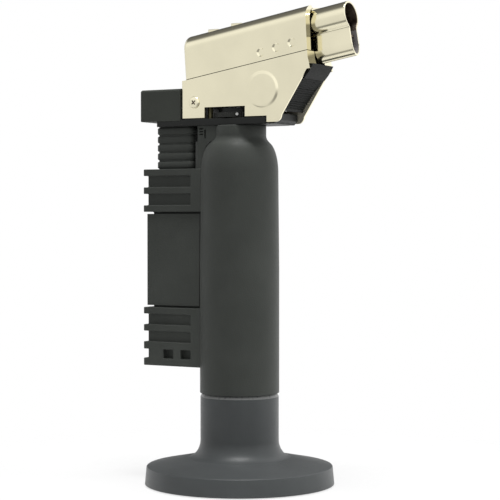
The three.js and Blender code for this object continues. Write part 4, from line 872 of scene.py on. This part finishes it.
def vent(x, z, side):
    """The room of a round press mark, sunk deepest at its rear edge"""
    shape = bmesh.new()
    centre = Matrix.Translation((0, 0, (VENT_DEPTH - CUT_PAST) / 2))
    bmesh.ops.create_cone(shape, cap_ends=True, segments=48, radius1=VENT_RADIUS + VENT_SLOPE * CUT_PAST,
                          radius2=VENT_RADIUS - VENT_SLOPE * VENT_DEPTH, depth=VENT_DEPTH + CUT_PAST,
                          matrix=centre)
    turn = Matrix.Rotation(-VENT_LEAN * side, 4, "Z") @ Matrix.Rotation(math.pi / 2 * side, 4, "X")
    place = Matrix.Translation((x, HALF_HEAD * side, z)) @ turn
    bmesh.ops.transform(shape, matrix=place, verts=shape.verts[:])
    return shape


def upper_shell():
    shape = hood_block()
    top = [edge for edge in shape.edges
           if all(vert.co.z > seam(vert.co.x) + HOOD_HEIGHT / 2 for vert in edge.verts)]
    crest = [edge for edge in top if abs(edge.verts[0].co.x - edge.verts[1].co.x) > HOOD_HEIGHT]
    bevelled(shape, crest, HOOD_ROUND, segments=24)
    scoop_front(shape)
    back = min(shape.faces, key=lambda face: face.calc_center_median().x)
    outline = [edge for edge in back.edges if edge.calc_face_angle(0) > HOOD_SHARP
               and not all(vert.co.z < seam(vert.co.x) + SEAM_NEAR for vert in edge.verts)]
    bevelled(shape, outline, HOOD_REAR_ROUND, segments=10)
    mouth = max(shape.faces, key=lambda face: face.calc_center_median().x)
    bmesh.ops.inset_region(shape, faces=[mouth], thickness=HOOD_LIP, use_even_offset=True)
    for vert in mouth.verts:
        vert.co.y *= HOOD_MOUTH_SHARE
        if vert.co.z < seam(vert.co.x) + 2 * HOOD_LIP:
            vert.co.z = seam(vert.co.x) + SEAM_HIGH
    low = [face for face in shape.faces
           if all(vert.co.z < seam(vert.co.x) + SEAM_NEAR for vert in face.verts)]
    bmesh.ops.delete(shape, geom=[mouth, *low], context="FACES")
    sheet(shape)
    shape = combined(pressed(shape), "UNION", *[louvre(x) for x in LOUVRES])
    shape = combined(shape, "DIFFERENCE", *[vent(x, z, side) for x, z in VENTS for side in (-1, 1)])
    made = piece("upper_shell_look", shape, champagne, "torch",
                 crease=12, weighted=True)
    for face in made.data.polygons:
        face.use_smooth = abs(face.normal.y) < FLAT_FLANK
    return made


# Nozzle guard
def keyhole():
    """Half of the guard's section, right of the middle, from the top down"""
    side = WEB_HALF + WAIST_FILLET
    drop = -math.sqrt((GUARD_RADIUS + WAIST_FILLET) ** 2 - side ** 2)
    meet = math.atan2(drop, side) / (math.pi / 2)
    bulb = arc((0, 0), GUARD_RADIUS, GUARD_RADIUS, 1, meet, steps=26)
    waist = arc((side, drop), WAIST_FILLET, WAIST_FILLET, 2 + meet, 2, steps=8)
    end = arc((0, WEB_BOTTOM + WEB_ROUND), WEB_HALF, WEB_ROUND, 0, -1, steps=20)
    return bulb + waist + end


def guard_tube():
    """The guard's section carried along the tilted head, open at both ends"""
    shape = bmesh.new()
    points = [shape.verts.new((GUARD_REAR, y, NOZZLE_RISE + z)) for y, z in keyhole()]
    for one, other in zip(points, points[1:]):
        shape.edges.new((one, other))
    half = shape.verts[:] + shape.edges[:]
    bmesh.ops.mirror(shape, geom=half, matrix=Matrix(), merge_dist=MERGE, axis="Y")
    bmesh.ops.remove_doubles(shape, verts=shape.verts[:], dist=MERGE)
    grown = bmesh.ops.extrude_edge_only(shape, edges=shape.edges[:])["geom"]
    bmesh.ops.translate(shape, vec=(GUARD_MOUTH - GUARD_REAR, 0, 0), verts=new_verts(grown))
    bmesh.ops.transform(shape, matrix=onto_head(), verts=shape.verts[:])
    return shape


def nozzle_guard():
    shape = guard_tube()
    sheet(shape)
    shape = pressed(shape, GUARD_WALL, GUARD_ROUND, inside=1)
    made = piece("nozzle_guard_look", shape, champagne, "torch",
                 crease=40, weighted=True)
    # The inside of the bulb takes the dark heated finish, partly heat tint and partly painted shade; lower
    # down the inside stays dull steel
    up = onto_head().inverted()
    for face in made.data.polygons:
        if face.material_index and (up @ (face.center / MM)).z > NOZZLE_RISE - GUARD_RADIUS:
            face.material_index = 2
    made.data.materials.append(dull_steel)
    made.data.materials.append(heated_steel)
    return made


# Trigger
def face_point(line, share):
    """A point on a curved line of the trigger, and the way inwards there, by a share of the line"""
    spans = len(line) - 1
    index = min(int(share * spans), spans - 1)
    t = share * spans - index
    before, start, end, after = [Vector(line[max(0, min(spans, index + i))]) for i in (-1, 0, 1, 2)]
    out, into = (end - before) / 2, (after - start) / 2
    bow = 2 * start - 2 * end + out + into
    swing = -3 * start + 3 * end - 2 * out - into
    place = ((bow * t + swing) * t + out) * t + start
    way = ((3 * bow * t + 2 * swing) * t + out).normalized()
    return place, Vector((-way.y, way.x))


def trigger_outline():
    """The face's side outline: fine ribs on its lower part, plain above"""
    front, back, run = [], [], 0
    last = Vector(FRONT_POINTS[0])
    for step in range(FACE_STEPS + 1):
        share = step / FACE_STEPS
        place, inward = face_point(FRONT_POINTS, share)
        run += (place - last).length
        last = place
        ribbed = RIBBED_SHARES[0] < share < RIBBED_SHARES[1]
        groove = RIB_SWAY * (1 - math.cos(math.tau * run / RIB_PITCH)) if ribbed else 0
        front.append(place + inward * groove)
        if step % BACK_EVERY == 0:
            place, inward = face_point(BACK_POINTS, share)
            back.append(place + inward * FACE_THICKNESS)
    return [tuple(point) for point in front + back[::-1]]


def trigger():
    face = slab(trigger_outline(), -FACE_HALF, FACE_HALF)
    roots = [face_point(BACK_POINTS, share) for share in ARM_SHARES]
    arm = [tuple(place + inward * FACE_THICKNESS / 2) for place, inward in roots]
    arm += [(PIN[0] + way * ARM_HALF[0], PIN[1] + way * ARM_HALF[1]) for way in (1, -1)]
    web = slab(arm, -KNUCKLE_HALF, KNUCKLE_HALF)
    knuckle = drum(KNUCKLE_RADIUS, -KNUCKLE_HALF, KNUCKLE_HALF, PIN)
    nose = drum(NOSE_RADIUS, -NOSE_HALF, NOSE_HALF, NOSE)
    body = combined(face, "UNION", web, knuckle, nose)
    ceiling = NOZZLE_RISE + WEB_BOTTOM - TRIGGER_GAP
    above = block((0, -HALF_HEAD, ceiling), (2 * GUARD_MOUTH, HALF_HEAD, NOZZLE_RISE))
    bmesh.ops.transform(above, matrix=onto_head(), verts=above.verts[:])
    rooms = [drum(PIN_HOLE, -HALF_HEAD, HALF_HEAD, PIN), above]
    for low, high in ((-HALF_HEAD, -KNUCKLE_HALF), (KNUCKLE_HALF, HALF_HEAD)):
        rooms.append(drum(EAR_ROOM, low, high, PIN))
    shape = combined(body, "DIFFERENCE", *rooms)
    return piece("trigger_look", shape, trigger_plastic, "trigger", crease=50)


# Small pieces
def flame_wheel():
    """A knurled wheel with a collar that screens the valve, black as painted shade, and a white dot of
    painted glint on its rim
    """
    low, high = [corner.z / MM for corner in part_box("flame_wheel")]
    shape = bmesh.new()
    under = Matrix.Translation((0, 0, low))
    rim = bmesh.ops.create_circle(shape, cap_ends=False, radius=WHEEL_RADIUS, segments=2 * WHEEL_TEETH,
                                  matrix=under)["verts"]
    valley = 1 - WHEEL_TOOTH / WHEEL_RADIUS
    bmesh.ops.scale(shape, vec=(valley, valley, 1), verts=rim[::2])
    bmesh.ops.create_circle(shape, cap_ends=False, radius=WHEEL_BORE, segments=64, matrix=under)
    bmesh.ops.triangle_fill(shape, use_beauty=True, edges=shape.edges[:], normal=(0, 0, 1))
    grown = bmesh.ops.extrude_face_region(shape, geom=shape.faces[:])["geom"]
    bmesh.ops.translate(shape, vec=(0, 0, high - low), verts=new_verts(grown))
    inner, foot = COLLAR_RADIUS - COLLAR_WALL, high - COLLAR_SINK
    collar = spun([(inner, foot), (COLLAR_RADIUS, foot), (COLLAR_RADIUS, COLLAR_TOP),
                   (inner, COLLAR_TOP)], steps=96)
    shape = combined(closed(shape), "UNION", collar)
    # The collar takes black plastic as painted shade, darker than the wheel's own grey
    for face in shape.faces:
        face.material_index = 2 if face.calc_center_median().z > high + MERGE else 0
    known = set(shape.faces)
    on_rim = Matrix.Translation((WHEEL_RADIUS, 0, high - MARK_RADIUS - MARK_DROP))
    place = Matrix.Rotation(MARK_TURN, 4, "Z") @ on_rim @ Matrix.Rotation(math.pi / 2, 4, "Y")
    bmesh.ops.create_cone(shape, cap_ends=True, segments=24, radius1=MARK_RADIUS, radius2=MARK_RADIUS,
                          depth=MARK_DEPTH, matrix=place)
    # The white dot on the rim is a painted glint
    for face in set(shape.faces) - known:
        face.material_index = 1
    made = piece("flame_wheel_look", shape, wheel_plastic, "wheel", crease=25)
    made.data.materials.append(painted_glint)
    made.data.materials.append(black_plastic)
    return made


def shell_screw(node, side):
    """A domed head with a cross in it, on a plain shank"""
    dome = arc((0, SCREW_EDGE), SCREW_HEAD, SCREW_RISE - SCREW_EDGE, 0, 1, steps=8)
    shape = spun([(0, -SCREW_LENGTH), (SCREW_SHANK, -SCREW_LENGTH), (SCREW_SHANK, 0), (SCREW_HEAD, 0),
                  *dome[:-1], (0, SCREW_RISE)], steps=48)
    arms = [block((-x, -y, SCREW_CROSS_FLOOR), (x, y, SCREW_RISE + CUT_PAST))
            for x, y in (SCREW_CROSS, SCREW_CROSS[::-1])]
    for arm in arms:
        bmesh.ops.rotate(arm, matrix=Matrix.Rotation(SCREW_CROSS_TURN, 3, "Z"), verts=arm.verts[:])
    shape = combined(shape, "DIFFERENCE", *arms)
    # The cross's floor and walls take the dark heated finish as painted shade
    for face in shape.faces:
        middle = face.calc_center_median()
        near_cross = middle.z > SCREW_CROSS_FLOOR / 2 and middle.xy.length < SCREW_CROSS[0] + FIT
        sunk = middle.z < 1.5 * SCREW_CROSS_FLOOR or abs(face.normal.z) < 0.1
        face.material_index = 1 if near_cross and sunk else 0
    turn = Matrix.Rotation(math.pi / 2 * side, 4, "X")
    place = Matrix.Translation((SCREW[0], -HALF_HEAD * side, SCREW[1])) @ turn
    bmesh.ops.transform(shape, matrix=place, verts=shape.verts[:])
    made = piece(node + "_look", shape, champagne, "torch", crease=40)
    made.data.materials.append(heated_steel)
    return made


def coil(node, winding, low, high, place=Matrix()):
    """A wound spring between two heights: a round section spun upwards, with closed ends"""
    radius, wire, turns = winding
    shape = bmesh.new()
    section = Matrix.Translation((radius, 0, low + wire)) @ Matrix.Rotation(math.pi / 2, 4, "X")
    bmesh.ops.create_circle(shape, cap_ends=False, radius=wire, segments=COIL_SIDES, matrix=section)
    steps = COIL_STEPS * turns
    rise = (high - low - 2 * wire) / steps
    bmesh.ops.spin(shape, geom=shape.verts[:] + shape.edges[:], axis=(0, 0, 1), dvec=(0, 0, rise),
                   angle=math.tau * turns, steps=steps)
    bmesh.ops.holes_fill(shape, edges=[edge for edge in shape.edges if edge.is_boundary], sides=0)
    closed(shape)
    bmesh.ops.transform(shape, matrix=place, verts=shape.verts[:])
    return piece(node + "_look", shape, steel, "torch", crease=60)


def springs():
    low, high = [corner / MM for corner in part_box("trigger_spring")]
    middle = (low + high) / 2
    along = Matrix.Translation((0, middle.y, middle.z)) @ Matrix.Rotation(math.pi / 2, 4, "Y")
    made = coil("trigger_spring", TRIGGER_COIL, low.x, high.x, along)
    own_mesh(made)
    for node, joint, winding, anchor, keep in (
            ("valve_spring", "valve_lift", VALVE_COIL, 0.1279, 0.93),
            ("fill_valve_spring", "fill_valve_press", FILL_COIL, 0.02325, 0.65)):
        low, high = [corner.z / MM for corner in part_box(node)]
        made = coil(node, winding, low, high)
        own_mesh(made)


# Solids that keep their shape
PLAIN_FINISHES = {
    rubber: ("stand_grip_ring", "tank_end_seal", "valve_seat_seal", "ignition_wire"),
    brass: ("fill_valve_body", "valve_body", "gas_jet"),
    # The gas tube is brass darkened as painted shade
    brass_in_painted_shade: ("gas_tube",),
    steel: ("tank_end_plug", "fill_valve_stem", "valve_stem", "wheel_clip", "mixing_tube", "electrode",
            "trigger_pin", "push_slide"),
    heated_steel: ("flame_holder", "guard_divider"),
    ceramic: ("electrode_insulator",),
    black_plastic: ("piezo_body", "piezo_plunger", "burner_cradle"),
    felt: ("gas_wick",),
}


def dress_solids():
    for finish, nodes in PLAIN_FINISHES.items():
        for node in nodes:
            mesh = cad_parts[node].data
            mesh.materials.clear()
            mesh.materials.append(finish)


# Floor, light and camera
FLOOR_RADIUS = 0.6
FLOOR_COLOUR = (0.9, 0.9, 0.9, 1)
FLOOR_ROUGHNESS = 0.9
FLOOR_GLOW = 0.7
FLOOR_FADE = (0.06, 0.16)
SOFT_LIGHT = 0.3
LAMP_TARGET = (0, 0, 0.1)
CAMERA_PLACE = (303.3, -517.69, 98)
CAMERA_TURN = math.radians(30)
CAMERA_DIP = math.radians(1.12)
CAMERA_LENS = 117.36
CAMERA_SENSOR = 36

# Turn about X in degrees, from the front (0) over the top (90), and the brightness that plating sees there
REFLECTIONS = (
    (-180, 0.8), (-175, 0.8), (-156, 0.7), (-148, 0.2), (-134, 0.2), (-126, 0.95), (-62, 0.98),
    (-53, 0.72), (-49, 0.22), (-40, 0.22), (-33, 0.68), (0, 0.7), (10, 0.72), (22, 0.8), (40, 0.86),
    (56, 0.78), (66, 0.42), (78, 0.16), (145, 0.08), (170, 0.12), (176, 0.4), (180, 0.8),
)
RIGHT_REFLECTIONS = (
    (-180, 1), (-100, 1), (-85, 0.35), (-8, 0.3), (8, 0.95), (180, 1),
)
RIGHT_SIDE = (-0.3, 0.05)
LEFT_SIDE = (-0.7, -0.85)
LEFT_LEVEL = 0.7
REFLECTION_STRENGTH = 1.42


def seen_white(tree):
    """Whether a ray sees plain white, as camera and transmission rays do, and whether it is glossy"""
    path = tree.nodes.new("ShaderNodeLightPath")
    seen = calculated(tree, "MAXIMUM", path.outputs["Is Camera Ray"], path.outputs["Is Transmission Ray"])
    return seen, path.outputs["Is Glossy Ray"]


def boards_by_turn(tree, share, levels):
    """The brightness of a list of boards, by a share of the whole turn"""
    boards = add(tree, "ShaderNodeValToRGB", Fac=share)
    stops = boards.color_ramp.elements
    while len(stops) < len(levels):
        stops.new(0.5)
    for stop, (degrees, level) in zip(stops, levels):
        stop.position = (degrees + 180) / 360
        stop.color = (level, level, level, 1)
    return boards.outputs["Color"]


def reflected(tree):
    """Brightness by direction: boards round the set, as the plating shows them"""
    direction = tree.nodes.new("ShaderNodeTexCoord").outputs["Generated"]
    way = add(tree, "ShaderNodeSeparateXYZ", Vector=direction)
    front = calculated(tree, "MULTIPLY", way.outputs["Y"], -1)
    turn = calculated(tree, "ARCTAN2", way.outputs["Z"], front)
    share = onto_range(tree, turn, (-math.pi, math.pi))
    seen = boards_by_turn(tree, share, REFLECTIONS)
    right = boards_by_turn(tree, share, RIGHT_REFLECTIONS)
    for side, level in ((RIGHT_SIDE, right), (LEFT_SIDE, (LEFT_LEVEL, LEFT_LEVEL, LEFT_LEVEL, 1))):
        beside = onto_range(tree, way.outputs["X"], side)
        seen = add(tree, "ShaderNodeMixRGB", Fac=beside, Color1=seen, Color2=level).outputs["Color"]
    return seen


def white_world():
    world = bpy.data.worlds.new("white_room")
    world.use_nodes = True
    tree = world.node_tree
    tree.nodes.clear()
    soft = add(tree, "ShaderNodeBackground", Color=WHITE, Strength=SOFT_LIGHT)
    white = add(tree, "ShaderNodeBackground", Color=WHITE, Strength=1.0)
    boards = add(tree, "ShaderNodeBackground", Color=reflected(tree), Strength=REFLECTION_STRENGTH)
    seen, glossy = seen_white(tree)
    room = mixed(tree, seen, mixed(tree, glossy, soft, boards), white)
    add(tree, "ShaderNodeOutputWorld", Surface=room.outputs[0])
    bpy.context.scene.world = world


def floor():
    """A pale round floor that keeps the shadow and fades into the white"""
    shape = bmesh.new()
    bmesh.ops.create_circle(shape, cap_ends=True, radius=FLOOR_RADIUS, segments=96)
    made = object_of(shape, "floor")
    finish, tree, shader, coords = finish_of("floor")
    feed(tree, shader, Base_Color=FLOOR_COLOUR, Roughness=FLOOR_ROUGHNESS, Specular_IOR_Level=0)
    glow = add(tree, "ShaderNodeEmission", Color=WHITE, Strength=1.0)
    seen, glossy = seen_white(tree)
    share = calculated(tree, "MULTIPLY", calculated(tree, "MAXIMUM", seen, glossy), FLOOR_GLOW)
    lit = mixed(tree, share, shader, glow)
    far = add(tree, "ShaderNodeVectorMath", Vector=coords)
    far.operation = "LENGTH"
    fade = onto_range(tree, far.outputs["Value"], FLOOR_FADE)
    faded = mixed(tree, fade, lit, tree.nodes.new("ShaderNodeBsdfTransparent"))
    feed(tree, tree.nodes["Material Output"], Surface=faded.outputs[0])
    made.data.materials.append(finish)


def lamp(name, place, size, power, glossy):
    light = bpy.data.lights.new(name, "AREA")
    light.shape = "RECTANGLE"
    light.size, light.size_y = size
    light.energy = power
    made = bpy.data.objects.new(name, light)
    made.location = place
    made.rotation_euler = (Vector(LAMP_TARGET) - Vector(place)).to_track_quat("-Z", "Y").to_euler()
    made.visible_glossy = glossy
    bpy.context.scene.collection.objects.link(made)


def camera():
    lens = bpy.data.cameras.new("camera")
    lens.sensor_width = CAMERA_SENSOR
    lens.lens = CAMERA_LENS
    made = bpy.data.objects.new("camera", lens)
    made.location = Vector(CAMERA_PLACE) * MM
    level = math.cos(CAMERA_DIP)
    look = Vector((-math.sin(CAMERA_TURN) * level, math.cos(CAMERA_TURN) * level, -math.sin(CAMERA_DIP)))
    made.rotation_euler = look.to_track_quat("-Z", "Y").to_euler()
    bpy.context.scene.collection.objects.link(made)
    bpy.context.scene.camera = made


# The set, and the part from the foot up
camera()
white_world()
floor()
lamp("top", (0.11, -0.18, 1.3), size=(0.5, 0.5), power=15.0, glossy=True)
lamp("side", (1.1, 0.25, 0.4), size=(0.5, 1.0), power=4.5, glossy=False)
stand_foot()
stand_sole()
tank_shell()
rear_housing()
label_panel()
ribbed_sleeve()
rear_cap()
head_frame()
lower_shell()
upper_shell()
nozzle_guard()
trigger()
flame_wheel()
shell_screw("shell_screw_near", 1)
shell_screw("shell_screw_far", -1)
springs()
dress_solids()

scene = bpy.context.scene
scene.view_settings.view_transform = "Standard"
